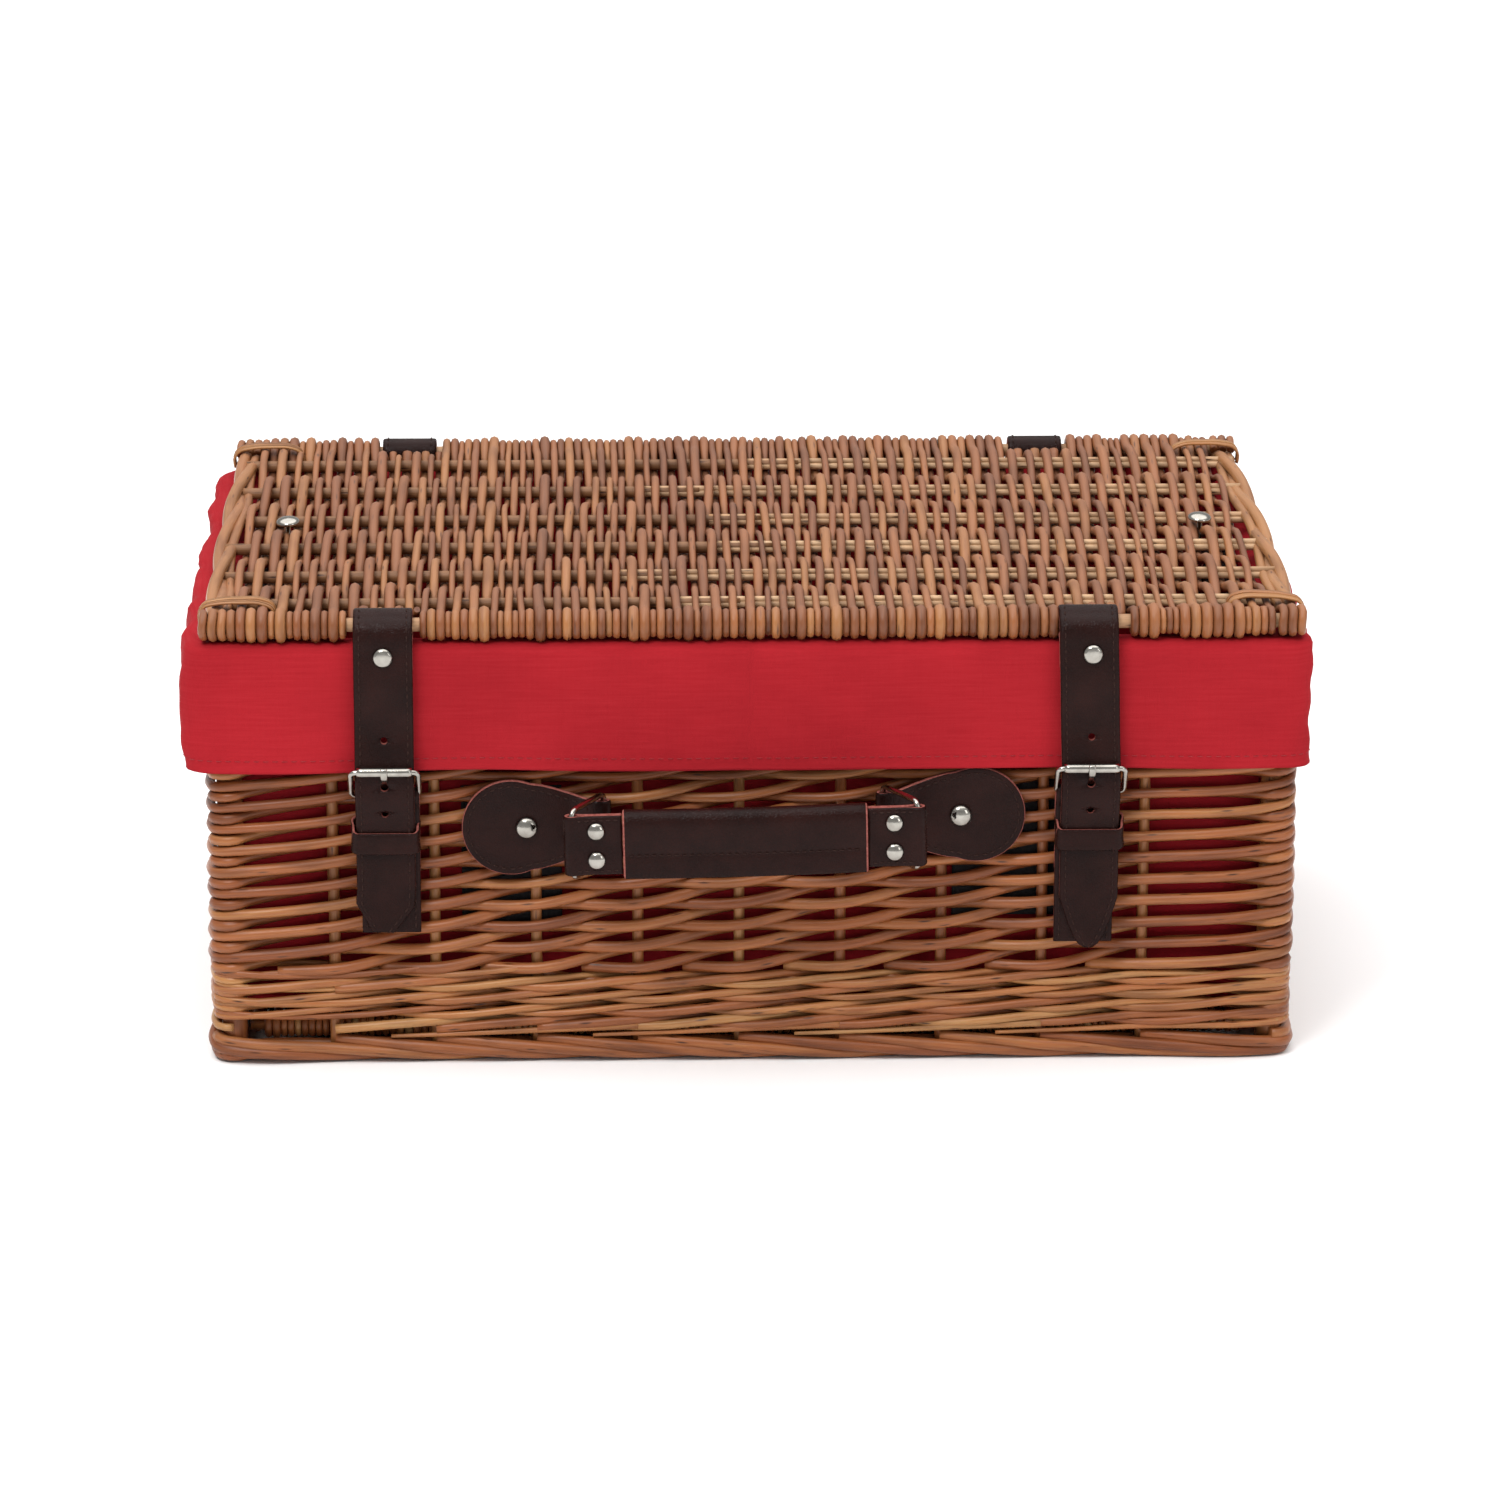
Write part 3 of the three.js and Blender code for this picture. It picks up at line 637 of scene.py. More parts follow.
# Plaited borders: each stake's end is turned down to the right, over its neighbours
def make_borders():
    foot = Piece("foot_plait", (WALL_WILLOW,), "willow", nodes=["foot_border"])
    rim = Piece("rim_plait", (WALL_WILLOW,), "willow", nodes=["rim_border"])
    for start in range(len(STATIONS)):
        for border, depths, heights, radii in (
            (foot, (2.2, 5.6, 4.4, -1.6), (9.2, 6.2, 2.9, 2.75), (2.7, 2.2)),
            (foot, (0.5, -2.8, -2.8, 0.5), (7, 6, 4, 3.4), (2.3, 2.1)),
            (rim, (0.5, 3.6, 3.4, -2.0), (174.5, 178.6, 176.2, 175), (2.3, 2.1)),
            (rim, (0.5, -3.4, -3.4, 2.0), (174.5, 178.8, 176.8, 175), (2.3, 2.1)),
        ):
            wander = draw.uniform(-0.25, 0.25)
            weave_round(
                border, start, 3, lambda n: depths[min(max(n, 0), 3)],
                lambda n: heights[min(n, 3)] + wander, radii, draw.uniform(0.25, 0.6),
            )
    foot.finish()
    rim.finish()


def woven_panel(piece, x_low, x_high, level, sticks, stick_radius, edge, edge_radius, radii, gaps, tones):
    """Rods side by side from front to back, over and under the sticks and round both edge sticks."""
    x = x_low
    count = 0
    lean = 0.0
    while x < x_high - radii[0]:
        radius = draw.uniform(*radii)
        x += radius
        lean = 0.75 * lean + draw.uniform(-1.2, 1.2)
        in_front_gap = any(abs(x - place) < 13.9 for place in gaps[0])
        in_back_gap = any(abs(x - place) < 13.9 for place in gaps[1])
        turn = edge_radius + radius
        way = 1 if count % 2 else -1
        keys = []
        if in_front_gap:
            keys += [(-edge + 12.5, level - way * 3.0), (-edge + 17, level + way * 1.0)]
        else:
            keys += [(-edge + turn * 0.9, level - turn * 0.75)]
            keys += arc((-edge, level), turn, 262, 98, 7)
            keys += [(-edge + turn * 1.0, level + turn * 0.72)]
        for y in sticks:
            keys.append((y, level + way * (stick_radius + radius)))
            way = -way
        if in_back_gap:
            keys += [(edge - 17, level - way * 1.0), (edge - 12.5, level + way * 3.0)]
        else:
            keys += [(edge - turn * 1.0, level + turn * 0.72)]
            keys += arc((edge, level), turn, 82, -82, 7)
            keys += [(edge - turn * 0.9, level - turn * 0.75)]
        seed = draw.uniform(0, 100)
        line = [
            (x + (lean * y / edge + 1.9 * noise.noise((y / 40, seed, 0.0)))
             * (1 - min(1, abs(y) / edge) ** 3), y, z)
            for y, z in keys
        ]
        path = smooth(line, 3.2)
        swell = np.array([1 + 0.08 * noise.noise((point[1] / 18, seed, 3.0)) for point in path])
        piece.rod(path, radius * swell, draw.uniform(*tones))
        x += radius * 0.98
        count += 1


def edge_wrap(piece, x, level, reach, turn, radius):
    """A short turn of willow round an edge stick, its ends tucked under the side rods."""
    for side in (-1, 1):
        centre = (side * reach, level)
        first, last = (278, 82) if side < 0 else (98, -98)
        keys = [(side * (reach - 9), level - turn * 0.5)]
        keys += arc(centre, turn, *((first, last) if side < 0 else (last, first)), 7)
        keys += [(side * (reach - 9), level + turn * 0.35)]
        line = smooth([(x + 0.3 * math.sin(k * 1.3), y, z) for k, (y, z) in enumerate(keys)], 2.4)
        piece.rod(line, radius, draw.uniform(0.25, 0.75))


def make_lid():
    lid = Piece("lid_weaving", (LID_WILLOW,), "willow", "lid", ["lid_weave"])
    reach, level = STICK
    woven_panel(lid, -217.5, 217.5, level, LID_STICKS, 2.7, reach, 3.0, (1.3, 2.4),
                (STRAPS.values(), HINGES.values()), (0.1, 0.8))
    for side in SIDES.values():
        for place, radius in ((219.4, 1.9), (223.3, 2.0), (227.2, 1.8)):
            edge_wrap(lid, side * place, level, reach, 3.0 + radius, radius)
        for place, radius, swing in ((218.6, 2.1, 1.2), (222.6, 2.7, 2.1), (222.6, 2.7, -2.1)):
            keys = []
            for y in np.linspace(-144, 144, 27):
                turn = 2 * math.pi * y / 148 + (0.4 if side > 0 else 1.3)
                bow = 2.4 * (1 - (y / 150) ** 2)
                dip = 3.0 if abs(y) > 138 else 0.0
                keys.append((
                    side * (place + bow + swing * math.cos(turn)), y,
                    level + swing * math.sin(turn) * 1.1 - dip,
                ))
            lid.rod(smooth(keys, 4.0), radius, draw.uniform(0.7, 1.1))
    lid.finish()

    sticks = Piece("lid_sticks", (PALE_WILLOW,), "pale_willow", "lid", [
        "lid_front_stick", "lid_back_stick", *(f"lid_inner_stick_{k + 1}" for k in range(len(LID_STICKS))),
    ])
    for y in (-reach, reach):
        sticks.rod([(x, y, level) for x in np.linspace(-228, 228, 40)], 3.0, 0.6, 12)
    for y in LID_STICKS:
        change = draw.uniform(-30, 30)
        sticks.rod([(x, y, level) for x in np.linspace(-226, change, 24)], 2.6, draw.uniform(0.1, 0.45), 10)
        for across, up in ((-1.5, -0.6), (1.5, -0.6), (0.0, 1.3)):
            wander = [(x, y + across + 0.3 * noise.noise((x / 30, y, across)), level + up)
                      for x in np.linspace(change - 26, 226, 30)]
            sticks.rod(wander, 1.5, draw.uniform(0.6, 1.0), 8)
    sticks.finish()

    bindings = Piece("lid_corner_bindings", (LID_WILLOW,), "willow", "lid")
    for side in SIDES.values():
        for end in (-1, 1):
            y = end * (reach - draw.uniform(12.5, 15))
            tilt = draw.uniform(-0.05, 0.12)
            keys = [(229.2, 188.5), (229.6, 192.5), (227.4, 195.9), (222, 197.4), (212, 198.0),
                    (204, 197.6), (199.5, 195.6), (198, 191.5), (198, 187.0)]
            for offset, width, skew in ((-1.0, 2.6, 0.0), (1.7, 2.0, 0.07)):
                path = smooth([
                    (side * x, y + offset - end * (tilt + skew) * (229 - x), z + 0.2 * offset)
                    for x, z in keys
                ], 1.8)
                widths = width * (0.75 + 0.25 * np.sin(np.linspace(0.1, math.pi - 0.1, len(path))))
                bindings.band(path, widths, 1.3, np.array((0.0, 1.0, 0.0)), (0, 0), draw.uniform(0.7, 0.95))
    bindings.finish()

    for name, side in SIDES.items():
        turned_piece((f"lid_rivet_head_{name}", "lid", f"lid_rivet_{name}"),
                     ((side * 199, 0, 196.3), (0.05 * side, -0.12, 1), dome_profile(5.2, 2.7, 0.5)),
                     ((side * 199, 0, 180.2), (0, 0, 1), [(4.0, 0), (4.0, 1.1), (0.9, 1.3), (0.9, 17.3)]))


def make_base():
    base = Piece("base_weaving", (WALL_WILLOW,), "willow", nodes=["base_weave"])
    level = 12.0
    sticks = (-108, -72, -36, 0, 36, 72, 108)
    woven_panel(base, -206, 206, level, sticks, 2.0, 135.0, 2.3, (1.45, 1.8), ((), ()), (0.3, 1.0))
    for y in (*sticks, -135.0, 135.0):
        base.rod([(x, y, level) for x in np.linspace(-212, 212, 20)], 2.1, draw.uniform(0.5, 0.9))
    for side in (-1, 1):
        base.rod([(side * 209, y, level) for y in np.linspace(-134, 134, 20)], 3.0, 0.6)
    base.finish()


# Cotton liner: one cloth from the cuff's hem, up and over the rim, down inside and across the floor
def rounded_outline(half_x, half_y, corner, count):
    """Points and outward directions round a rounded rectangle, from the middle of its front."""
    straight_x, straight_y = 2 * (half_x - corner), 2 * (half_y - corner)
    turn = math.pi / 2 * corner
    total = 2 * (straight_x + straight_y) + 4 * turn
    points = []
    for travelled in np.linspace(0, total, count, endpoint=False):
        rest = travelled + straight_x / 2
        for quarter, side in enumerate((straight_x, straight_y, straight_x, straight_y, straight_x)):
            angle = math.radians(-90 + 90 * quarter)
            out = np.array((math.cos(angle), math.sin(angle)))
            along = np.array((-out[1], out[0]))
            centre = np.array((half_x - corner, half_y - corner))
            if rest <= side:
                base_point = out * (centre + corner) + along * (rest - side / 2)
                points.append((*base_point, *out, travelled))
                break
            rest -= side
            if rest <= turn:
                swing = angle + rest / corner
                out_now = np.array((math.cos(swing), math.sin(swing)))
                middle = out * centre + along * side / 2
                points.append((*(middle + out_now * corner), *out_now, travelled))
                break
            rest -= turn
    return np.array(points)


def billow(x, y, out_x, z):
    """How far the cuff stands out from its plain shape: deep soft folds at the ends, faint ones in front."""
    depth = max(0.0, min(1.0, (z - 126) / 12)) * 0.65 + 0.35
    ends = abs(out_x) ** 2
    along = y if ends > 0.5 else x
    soft = noise.noise((along / 34, z / 16, 3.1 + out_x))
    broad = noise.noise((along / 75, z / 60, 8.2))
    fine = noise.noise((along / 11 + z / 14, z / 22, 1.7))
    amount = (0.9 * broad + 0.35 * soft + 0.22 * fine) * (1 - ends)
    amount += (3.4 * soft + 1.2 * fine + 2.0 - 2.5 * out_x) * ends
    amount *= depth
    held = min(abs(x - place) for place in (STRAPS if y < 0 else HINGES).values())
    if ends < 0.5 and held < 26:
        pressed = min(0.1, amount) - 0.25
        share = max(0.0, min(1.0, (held - 13) / 13))
        amount = pressed * (1 - share) + amount * share
    return amount


def make_liner():
    # Half length, half width, corner radius, height: from the hem up the cuff, over the rim, down and inwards
    profile = [(233.0, 154.1, 9.5, 129.3), (232.7, 153.9, 9.5, 130.4)]
    profile += [(232.3, 153.7, 9.5, z) for z in np.arange(133, 179, 3.2)]
    profile += [(232.3, 153.6, 9.5, 180.4), (231.4, 152.8, 10, 182.2), (229.2, 151, 10, 183.2),
                (225.0, 147.2, 10, 183.5), (220.5, 142.8, 10, 183.3), (216.8, 139.2, 10, 182.4),
                (215.0, 137.0, 7, 180.6)]
    profile += [(214.8, 136.3, 4, z) for z in np.linspace(174, 30, 16)]
    profile += [(214.4, 135.9, 4, 26), (213.0, 134.5, 4, 22.4), (209.7, 131.2, 4, 21.0)]
    profile += [(209.7 - d, 131.2 - d, 4, 20.9) for d in (6, 14, 24, 36, 50, 64, 78, 92, 106, 118)]
    count = 560
    rings = []
    grains = []
    down = 0.0
    before = None
    for half_x, half_y, corner, z in profile:
        outline = rounded_outline(half_x, half_y, min(corner, half_y - 1), count)
        points = np.empty((count, 3))
        grain = np.empty((count, 3))
        if before:
            down += math.dist((half_y, z), before)
        before = (half_y, z)
        for k, (x, y, out_x, out_y, travelled) in enumerate(outline):
            cuff = half_x > 229 and z > 128
            inside = 24 < z < 178 and half_x < 216
            amount = billow(x, y, out_x, z) if cuff else 0.0
            if inside:
                amount = 0.5 * noise.noise((x / 50, y / 50, z / 40)) - 0.5
            drop = 1.5 * noise.noise((x / 80, y / 80, 4.0)) * max(0.0, 1 - (z - 129) / 25) if cuff else 0.0
            points[k] = (x + out_x * amount, y + out_y * amount, z + drop)
            grain[k] = (travelled, down, 0.0)
        rings.append(points)
        grains.append(grain)
    liner = Piece("cotton_liner", (COTTON,), "red_cotton", nodes=["liner"])
    rings = np.array(rings)
    liner.loft(rings, grain=np.array(grains), cap=None)
    liner.caps.append(tuple(range(liner.total - count, liner.total)))
    liner.cap_materials.append(0)
    cloth = liner.finish()
    thick = cloth.modifiers.new("thickness", "SOLIDIFY")
    thick.thickness = 0.9 * MM
    thick.offset = 0.0

    stitching = Piece("liner_hem_stitches", (RED_THREAD,), "red_cotton")
    outline = rounded_outline(232.3, 153.7, 9.5, count)
    outward = np.concatenate((outline[:, 2:4], np.zeros((count, 1))), axis=1)
    line = rings[2] * 0.5 + rings[3] * 0.5 + outward * 0.5
    stitching.stitches(np.concatenate((line, line[:1])), np.concatenate((outward, outward[:1])),
                       0, 3.0, 0.9, 0.2)
    seam = stitching.finish()


def make_backings():
    """Grey pads inside the weave, behind the handle's leathers."""
    pads = Piece("backing_pads", (FELT,), "brown_leather")
    for low, high, bottom, top in ((-122, -80, 58, 118), (84, 128, 60, 120)):
        middle = (low + high) / 2
        path = [(middle, -137.0 - 0.4 * noise.noise((z / 20, low, 0)), z)
                for z in np.linspace(top, bottom, 16)]
        pads.band(path, (high - low) / 2, 0.9, ACROSS_X, (0, 0))
    pads.finish()


# Leather
# Each upper strap's tip: its height, length of the taper, half width at the tip, roundness
TAILS = {"left": (61.0, 11.5, 4.6, 1.0), "right": (52.4, 22.0, 2.2, 0.62)}
LOWER_ENDS = {"left": 60.0, "right": 54.2}     # height where each wall strap ends
STRAP_HOLES = ((144.5, 2.0, 1.45), (112.9, 2.0, 1.45), (125.0, 2.6, 1.7))   # height, half length, radius


def tail_width(z, name):
    """Half the strap's width at a height near its tip."""
    tip, length, narrow, roundness = TAILS[name]
    share = max(0.0, min(1.0, (z - tip) / length))
    return narrow + (STRAP_HALF - narrow) * share ** roundness


def bore(target, centre, half_length, radius):
    """Punch a round hole through a strap from front to back."""
    cutter = Piece("cutter", (LEATHER, RAW_LEATHER), "brown_leather")
    x, y, z = centre
    cutter.rod([(x, y - half_length, z), (x, y, z), (x, y + half_length, z)], radius, 0.5, 20, 1)
    tool = cutter.finish()
    tool.data.shade_flat()
    modifier = target.modifiers.new("hole", "BOOLEAN")
    modifier.operation = "DIFFERENCE"
    modifier.solver = "EXACT"
    modifier.object = tool
    bpy.context.view_layer.update()
    evaluated = target.evaluated_get(bpy.context.evaluated_depsgraph_get())
    punched = bpy.data.meshes.new_from_object(evaluated)
    target.modifiers.clear()
    target.data = punched
    places = np.empty(len(punched.vertices) * 3, np.float32)
    punched.vertices.foreach_get("co", places)
    punched.attributes["grain"].data.foreach_set("vector", places)
    bpy.data.objects.remove(tool)


def make_straps():
    for name, x in STRAPS.items():
        strap = leather_piece(f"front_strap_{name}", f"strap_{name}", f"strap_{name}")
        reach, level = STICK
        line = [(-156.2, 174), (-156.2, 179), (-156.0, 184.6)]
        line += arc((-reach, level), 5.9, 225, 495, 14)
        line += [(-156.6, 192.2), (-158.2, 187.4), (-158.4, 182), (-158.9, 176), (-159.3, 167),
                 (-158.6, 157), (-158.6, 146), (-159.6, 139), (-160.6, 132), (-161.3, 125), (-161.2, 118),
                 (-159.4, 112.6), (-157.9, 107.4), (-157.5, 101), (-157.5, 85), (-157.7, 72),
                 (-158.4, TAILS[name][0])]
        path = smooth(across_x(line, x), 1.4)
        widths = np.full(len(path), STRAP_HALF)
        tail = path[:, 2] < 80
        widths[tail] = [tail_width(z, name) for z in path[tail, 2]]
        if name == "left":
            path[tail, 0] += np.linspace(0, -1.4, tail.sum())
        else:
            path[:, 0] -= 1.6 * np.clip((path[:, 2] - ROLLER[1]) / 55, 0, 1)
        made = strap.band(path, widths, 2.2, ACROSS_X)
        front = int(np.argmax(path[:, 2]))
        leather_strap = strap.finish()
        threads = leather_piece(f"strap_stitches_{name}", f"strap_{name}")
        threads.edge_stitches(made, front, None, 2.4)
        threads.finish()
        for height, half_length, radius in STRAP_HOLES:
            depth = np.interp(height, path[::-1, 2], path[::-1, 1])
            bore(leather_strap, (x, depth, height), half_length, radius)

        turned_piece((f"strap_stud_head_{name}", f"strap_{name}", f"strap_stud_{name}"),
                     ((x, -159.6, 180), (0, -1, 0.03), cap_profile(4.2, 2.0)))

        lower = leather_piece(f"buckle_strap_{name}", "basket", f"lower_strap_{name}")
        line = [(-153.1, 86), (-153.1, 100), (-153.1, 116.5)]
        line += arc(BUCKLE_BAR, 2.5, -20, 200, 10)
        line += [(-155.6, 113.5), (-155.1, 105), (-155.1, 90), (-155.2, 72), (-155.6, LOWER_ENDS[name])]
        path = smooth(across_x(line, x - 2.0 * math.copysign(1, x)), 1.4)
        made = lower.band(path, STRAP_HALF, 1.7, ACROSS_X)
        lower_strap = lower.finish()
        for drop in (-0.8, 4.2):
            bore(lower_strap, (x, BUCKLE_BAR[0], BUCKLE_BAR[1] - drop), 7.0, 3.5)
        threads = leather_piece(f"buckle_strap_stitches_{name}")
        threads.edge_stitches(made, len(made[0]) // 2, None, 2.2)
        threads.finish()

        keeper = leather_piece(f"keeper_{name}", "basket", f"strap_keeper_{name}")
        corners = [(-13.5, -159.9), (13.5, -159.9), (13.5, -151.0), (-13.5, -151.0)]
        loop = rounded_loop([(x + dx, y, 100.3) for dx, y in corners], 3.2, 6)
        loop[:, 2] += 0.62 * (loop[:, 1] + 159.9) - 0.6
        keeper.band(loop, 4.6, 1.5, UPRIGHT)
        keeper.finish()

        frame_piece = nickel_piece(f"buckle_wire_{name}", f"buckle_{name}", f"buckle_frame_{name}")
        arm = STRAP_HALF + 1.8
        corners = [(x + side * arm, *place) for side, place in
                   ((-1, BUCKLE_BAR), (1, BUCKLE_BAR), (1, ROLLER), (-1, ROLLER))]
        frame_piece.rod(rounded_loop(corners, 2.6, 6), 1.2, 0.5, 12)
        frame_piece.finish()

        roller = nickel_piece(f"buckle_sleeve_{name}", f"roller_{name}", f"buckle_roller_{name}")
        turns = np.radians(np.linspace(-60, 262, 24))
        outer, inner = ([(ROLLER[0] + radius * math.cos(a), ROLLER[1] + radius * math.sin(a)) for a in row]
                        for radius, row in ((2.05, turns), (1.6, turns[::-1])))
        rings = np.array([across_x(outer + inner, place) for place in np.linspace(x - 11.4, x + 11.4, 12)])
        roller.loft(rings)
        roller.finish()

        prong = nickel_piece(f"buckle_tongue_{name}", f"prong_{name}", f"buckle_prong_{name}")
        line = arc(BUCKLE_BAR, 2.2, 20, -200, 11)
        line += [(-159.8, 124.6), (-163.6, 127.8), (-166.3, 130.2), (-167.0, 132.2), (-166.4, 134.2)]
        path = smooth(across_x(line, x), 0.9)
        prong.band(path, np.linspace(1.8, 1.35, len(path)), 1.1, ACROSS_X, (0, 0))
        prong.finish()


def make_hinges():
    reach, level = STICK
    for name, x in HINGES.items():
        hinge = leather_piece(f"hinge_band_{name}", "basket", f"hinge_leather_{name}")
        line = arc((reach, level), 5.7, -60, -320, 13)
        line += [(156.0, 188.5), (156.4, 183), (156.3, 168), (156.2, 150)]
        made = hinge.band(smooth(across_x(line, x), 1.4), STRAP_HALF, 2.1, -ACROSS_X)
        hinge.edge_stitches(made)
        hinge.finish()
        turned_piece((f"hinge_rivet_head_{name}", "basket", f"hinge_rivet_{name}"),
                     ((x, 157.3, 160), (0, 1, 0), cap_profile(4.0, 2.0)))


def make_stays():
    for name, side in SIDES.items():
        x = side * 206
        upper = leather_piece(f"stay_band_upper_{name}", f"stay_upper_{name}", f"stay_upper_{name}")
        line = [(7, 182.5), (1, 182.5), (-5, 182.4), (-8.2, 181.0), (-11.5, 176.2), (-26.5, 154.6),
                (-40.9, 133.9)]
        path = smooth(across_x(line, x), 1.8)
        widths = np.where(path[:, 1] > -5, 9.4, 6.0)
        path[:, 0] -= side * np.where(path[:, 1] > -5, 3.5, 0.0)
        upper.band(path, widths, 1.7, ACROSS_X)
        lower = leather_piece(f"stay_band_lower_{name}", f"stay_lower_{name}", f"stay_lower_{name}")
        line = [(-42.2, 131.2), (-30, 131.9), (30, 135.4), (80, 138.2), (103, 139.6)]
        made = lower.band(smooth(across_x(line, x), 2.4), 6.0, 1.7, ACROSS_X)
        lower.edge_stitches(made)
        tab = [(side * 206.5, 100.5, 139.5), (side * 210.8, 102, 139.6), (side * 212.2, 105, 139.8),
               (side * 212.2, 117, 140.2)]
        lower.band(smooth(tab, 1.6), 5.8, 1.7, UPRIGHT * side)
        made_upper = upper.finish()
        made_lower = lower.finish()
        for made in (made_upper, made_lower):
            made.parent = None
        spot(x, -3.0, 182.5)
        spot(x, -14.0, 172.5)
        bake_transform(made_upper)
        spot(x, STAY_ELBOW[0] - 0.5, STAY_ELBOW[1])
        spot(x, STAY_ELBOW[0] + 12, STAY_ELBOW[1] + 0.6)
        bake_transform(made_lower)
        turned_piece((f"stay_rivet_head_{name}", "basket", f"stay_wall_rivet_{name}"),
                     ((side * 211.1, *STAY_RIVET), (-side, 0, 0), cap_profile(4.0, 1.9)),
                     ((side * 214.8, *STAY_RIVET), (-side, 0, 0), [(1.8, 0), (1.8, 3.6)]))


def make_handle():
    grip = leather_piece("grip", "handle", "handle_grip")
    front = [(-3.6, 12.6), (-4.5, 10.6), (-4.75, 7.8), (-4.7, 4.5), (-4.4, 1.2), (-3.9, -1.6), (-3.1, -3.6),
             (-2.9, -4.4), (-3.1, -5.4), (-3.3, -8.0), (-3.3, -11.5), (-3.2, -13.9), (-2.7, -14.5)]
    back = [(2.7, -14.5), (3.2, -13.9), (3.4, -10), (3.6, -4), (4.2, 1.0), (4.6, 6.0), (4.5, 10.6),
            (3.6, 12.6), (1.9, 14.2), (0.0, 14.7), (-1.9, 14.2)]
    outline = np.array(front + back)
    places = np.concatenate(([-50.5, -50.3, -49.8], np.linspace(-47, 47, 36), [49.8, 50.3, 50.5]))
    rings = []
    for place in places:
        inset = 0.45 if abs(place) > 50.4 else (0.15 if abs(place) > 50.1 else 0.0)
        swell = 1 - inset / 6
        droop = 0.9 * (1 - (place / 50.5) ** 2)
        plump = 1 + 0.05 * noise.noise((place / 16, 2.0, 0.0))
        rings.append([(place, GRIP_PLANE + y * swell * plump, z * swell - 0.6 * droop) for y, z in outline])
    ends = np.zeros((len(places) - 1, len(outline)), int)
    ends[:2] = 1
    ends[-2:] = 1
    rings = np.array(rings)[:, ::-1]
    grip.loft(handle_frame(rings), 0.5, np.array(rings), None, ends, 1)
    line = handle_frame([(place, GRIP_PLANE - 3.05, -4.4 - 0.54 * (1 - (place / 50.5) ** 2))
                         for place in np.linspace(-49, 49, 60)])
    grip.stitches(line, np.array((0.0, -1.0, 0.0)), 2, 2.3, 0.8, 0.28)
    grip.finish()

    for name, side in SIDES.items():
        eye = (EYE_PLACE, GRIP_PLANE)
        tab = leather_piece(f"grip_tab_{name}", f"handle_tab_{name}", f"handle_tab_{name}")
        line = [(50.7, GRIP_PLANE + 1.25), (58, GRIP_PLANE + 1.3), (66, GRIP_PLANE + 1.35)]
        line += arc(eye, 2.55, 125, -125, 10)
        line += [(66, GRIP_PLANE - 1.35), (58, GRIP_PLANE - 1.3), (50.7, GRIP_PLANE - 1.25)]
        path = smooth([(side * px, py, 0.0) for px, py in line], 1.1)
        made = tab.band(handle_frame(path), 12.7, 1.9, HANDLE_DOWN * side)
        half = len(path) // 2
        tab.edge_stitches(made, half + 4, None, 1.9, length=2.0)
        leather_tab = tab.finish()
        leather_tab.parent = None
        placed(handle_frame((side * 50.6, GRIP_PLANE, 0)))
        placed(handle_frame((side * 56.5, GRIP_PLANE, 0)))
        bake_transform(leather_tab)

        for level, z in (("lower", -6.2), ("upper", 6.2)):
            heads = [(handle_frame((side * 61.5, GRIP_PLANE + face * 2.3, z)), (0, face, 0), profile)
                     for face, profile in ((-1, dome_profile(3.8, 2.3)), (1, dome_profile(3.2, 1.1)))]
            turned_piece((f"grip_rivet_{name}_{level}", f"handle_tab_{name}", f"handle_rivet_{name}_{level}"),
                         *heads)

        ring = nickel_piece(f"ring_wire_{name}", f"handle_ring_{name}", f"handle_ring_{name}")
        corners = [(side * RING_PLACE, RING_BAR, -14.5), (side * RING_PLACE, RING_BAR, 14.5),
                   (side * EYE_PLACE, GRIP_PLANE, 14.5), (side * EYE_PLACE, GRIP_PLANE, -14.5)]
        ring.rod(handle_frame(rounded_loop(corners, 4.2, 6)), 1.25, 0.5, 12)
        ring.finish()
        make_escutcheon(name, side)


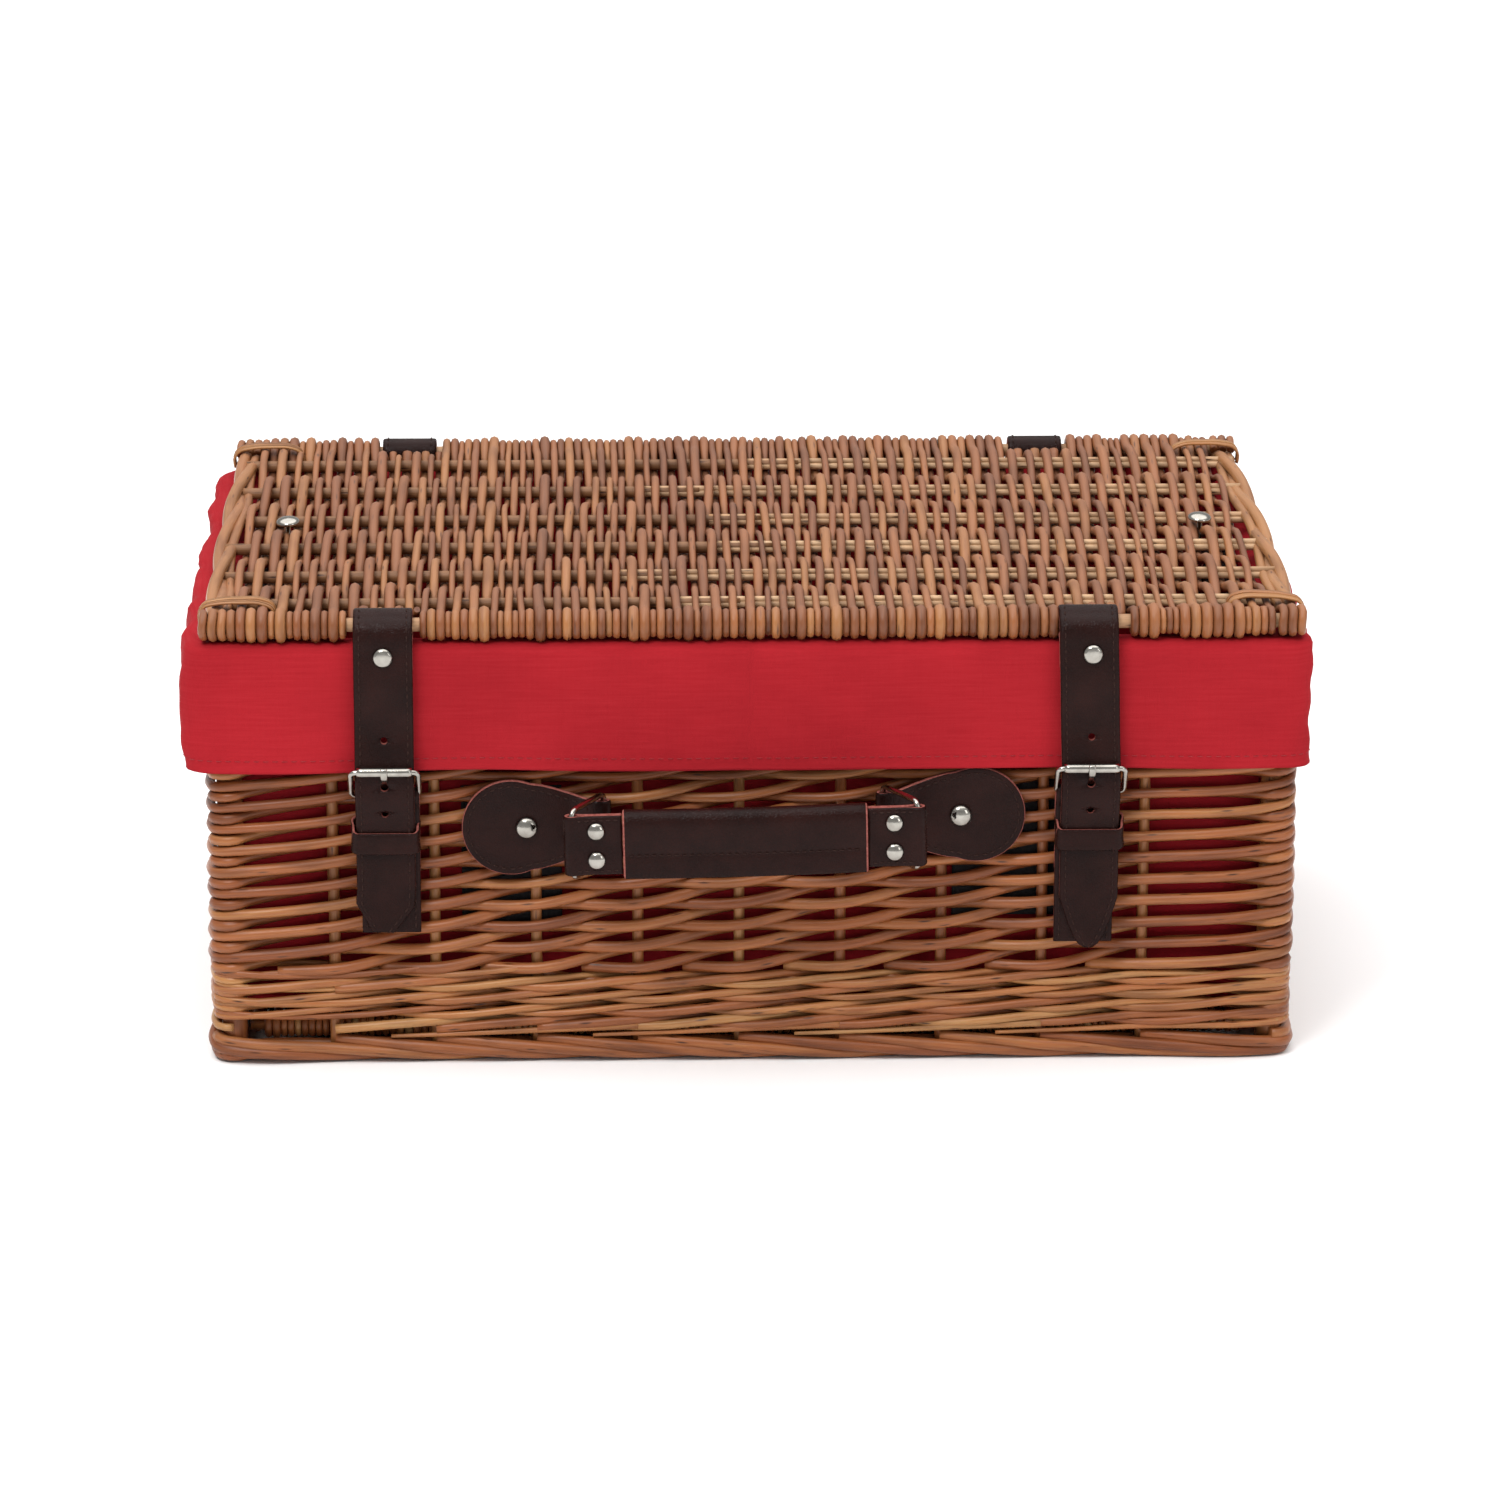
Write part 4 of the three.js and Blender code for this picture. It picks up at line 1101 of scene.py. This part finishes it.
def make_escutcheon(name, side):
    """A teardrop of leather on the wall, its narrow end turned round the ring."""
    leaf = leather_piece(f"handle_leaf_{name}", "basket", f"escutcheon_{name}")
    circle = arc((ESCUTCHEON_PLACE, 0), 20.5, 112, -112, 44)
    keys = [(59.5, 11.4), (66, 12.6), (72, 14.3), (79, 16.7), (84, 18.1)] + circle + [
        (84, -18.1), (79, -16.7), (72, -14.3), (66, -12.6), (59.5, -11.4)]
    flat = smooth([(x, 0.0, z) for x, z in keys], 1.3)
    closing = [(59.3, 0.0, z) for z in np.linspace(-9.5, 9.5, 12)]
    outline = np.concatenate((flat, closing))
    ways = unit(np.gradient(np.concatenate((outline[-1:], outline, outline[:1])), axis=0)[1:-1])
    outward = np.cross(ways, (0.0, 1.0, 0.0))
    if ((outline - (90, 0, 0)) * outward).sum() < 0:
        outward = -outward

    def sheet_at(inset, y):
        """The outline drawn in by inset; its neck rises to pass in front of the ring."""
        ring = outline - outward * inset
        rise = np.clip((73 - ring[:, 0]) / 13, 0, 1)
        ring[:, 1] = y - 3.9 * rise * rise * (3 - 2 * rise)
        return ring

    rings = [sheet_at(0.5, -150.4), sheet_at(0.0, -150.8), sheet_at(0.0, -152.2), sheet_at(0.35, -152.7),
             sheet_at(1.3, -152.85), sheet_at(3.0, -152.8), sheet_at(6.0, -152.8)]
    rings += [rings[-1] * (1, 1, share) for share in (0.75, 0.5, 0.25, 0.002)]
    rings = np.array(rings)
    materials = np.zeros((len(rings) - 1, len(outline)), int)
    materials[:3] = 1
    line = sheet_at(2.6, -152.85)[4:-16]
    if side < 0:
        rings[..., 0] *= -1
        line[:, 0] *= -1
    else:
        rings = rings[:, ::-1]
    leaf.loft(handle_frame(rings), 0.5, rings, None, materials, 0)
    leaf.caps.pop()
    leaf.cap_materials.pop()
    leaf.stitches(handle_frame(line), np.array((0.0, -1.0, 0.0)), 2, 2.5, 1.0, 0.36)
    turn = [(62.5, -155.8)] + arc((RING_PLACE, RING_BAR), 2.25, 285, 60, 12) + [(63, -151.4), (70, -151.2)]
    path = smooth([(side * px, py, 0.0) for px, py in turn], 0.9)
    leaf.band(handle_frame(path), 11.6, 1.5, HANDLE_DOWN * side)
    leaf.finish()
    turned_piece((f"handle_leaf_stud_{name}", "basket", f"escutcheon_stud_{name}"),
                 (handle_frame((side * 90.5, -153.2, 0)), (0, -1, 0.04), dome_profile(4.7, 2.9)))


make_walls()
make_borders()
make_base()
make_lid()
make_liner()
make_backings()
make_straps()
make_hinges()
make_stays()
make_handle()


# Studio
def make_floor():
    mesh = bpy.data.meshes.new("floor")
    reach = 12.0
    mesh.from_pydata([(-reach, -reach, 0), (reach, -reach, 0), (reach, reach, 0), (-reach, reach, 0)], [],
                     [(0, 1, 2, 3)])
    floor = bpy.data.objects.new("floor", mesh)
    bpy.context.collection.objects.link(floor)
    finish = Finish("floor", Roughness=0.8)
    finish.shader.inputs["Base Color"].default_value = (0.93, 0.93, 0.93, 1)
    mesh.materials.append(finish.material)


def add_light(name, place, aim, size, power):
    data = bpy.data.lights.new(name, "AREA")
    data.shape = "RECTANGLE"
    data.size, data.size_y = size
    data.energy = power
    light = bpy.data.objects.new(name, data)
    light.location = place
    light.rotation_euler = (Vector(aim) - Vector(place)).to_track_quat("-Z", "Y").to_euler()
    bpy.context.collection.objects.link(light)


def make_studio():
    make_floor()
    world = bpy.data.worlds.new("studio")
    world.use_nodes = True
    nodes, links = world.node_tree.nodes, world.node_tree.links
    background = next(n for n in nodes if n.type == "BACKGROUND")
    way = nodes.new("ShaderNodeSeparateXYZ")
    links.new(nodes.new("ShaderNodeTexCoord").outputs["Generated"], way.inputs["Vector"])
    sky = nodes.new("ShaderNodeValToRGB")
    links.new(way.outputs["Z"], sky.inputs["Fac"])
    stops = sky.color_ramp.elements
    for element, (place, level) in zip(
            (*stops, stops.new(0.5)), ((0.1, 0.62), (0.9, 0.34), (0.45, 0.4))):
        element.position = place
        element.color = (level, level, level, 1)
    links.new(sky.outputs["Color"], background.inputs["Color"])
    scene = bpy.context.scene
    scene.world = world
    scene.view_settings.view_transform = "Standard"
    target = (0.0, 0.0, 0.1)
    add_light("key", (-0.7, -1.3, 1.9), target, (0.8, 0.38), 23)
    add_light("fill", (1.5, -1.5, 0.9), target, (0.6, 0.9), 5)
    overhead = bpy.data.lights.new("overhead", "SUN")
    overhead.energy = 2.25
    overhead.angle = math.radians(80)
    light = bpy.data.objects.new("overhead", overhead)
    light.rotation_euler = (math.radians(-8), 0, 0)
    bpy.context.collection.objects.link(light)

    camera_data = bpy.data.cameras.new("camera")
    camera_data.lens = 146.35
    camera_data.sensor_width = 36
    camera_data.clip_end = 50
    camera = bpy.data.objects.new("camera", camera_data)
    camera.location = (-0.0657, -2.5664, 0.8627)
    camera.rotation_euler = (math.radians(73.36), math.radians(-0.103), math.radians(-1.486))
    bpy.context.collection.objects.link(camera)
    scene.camera = camera


make_studio()
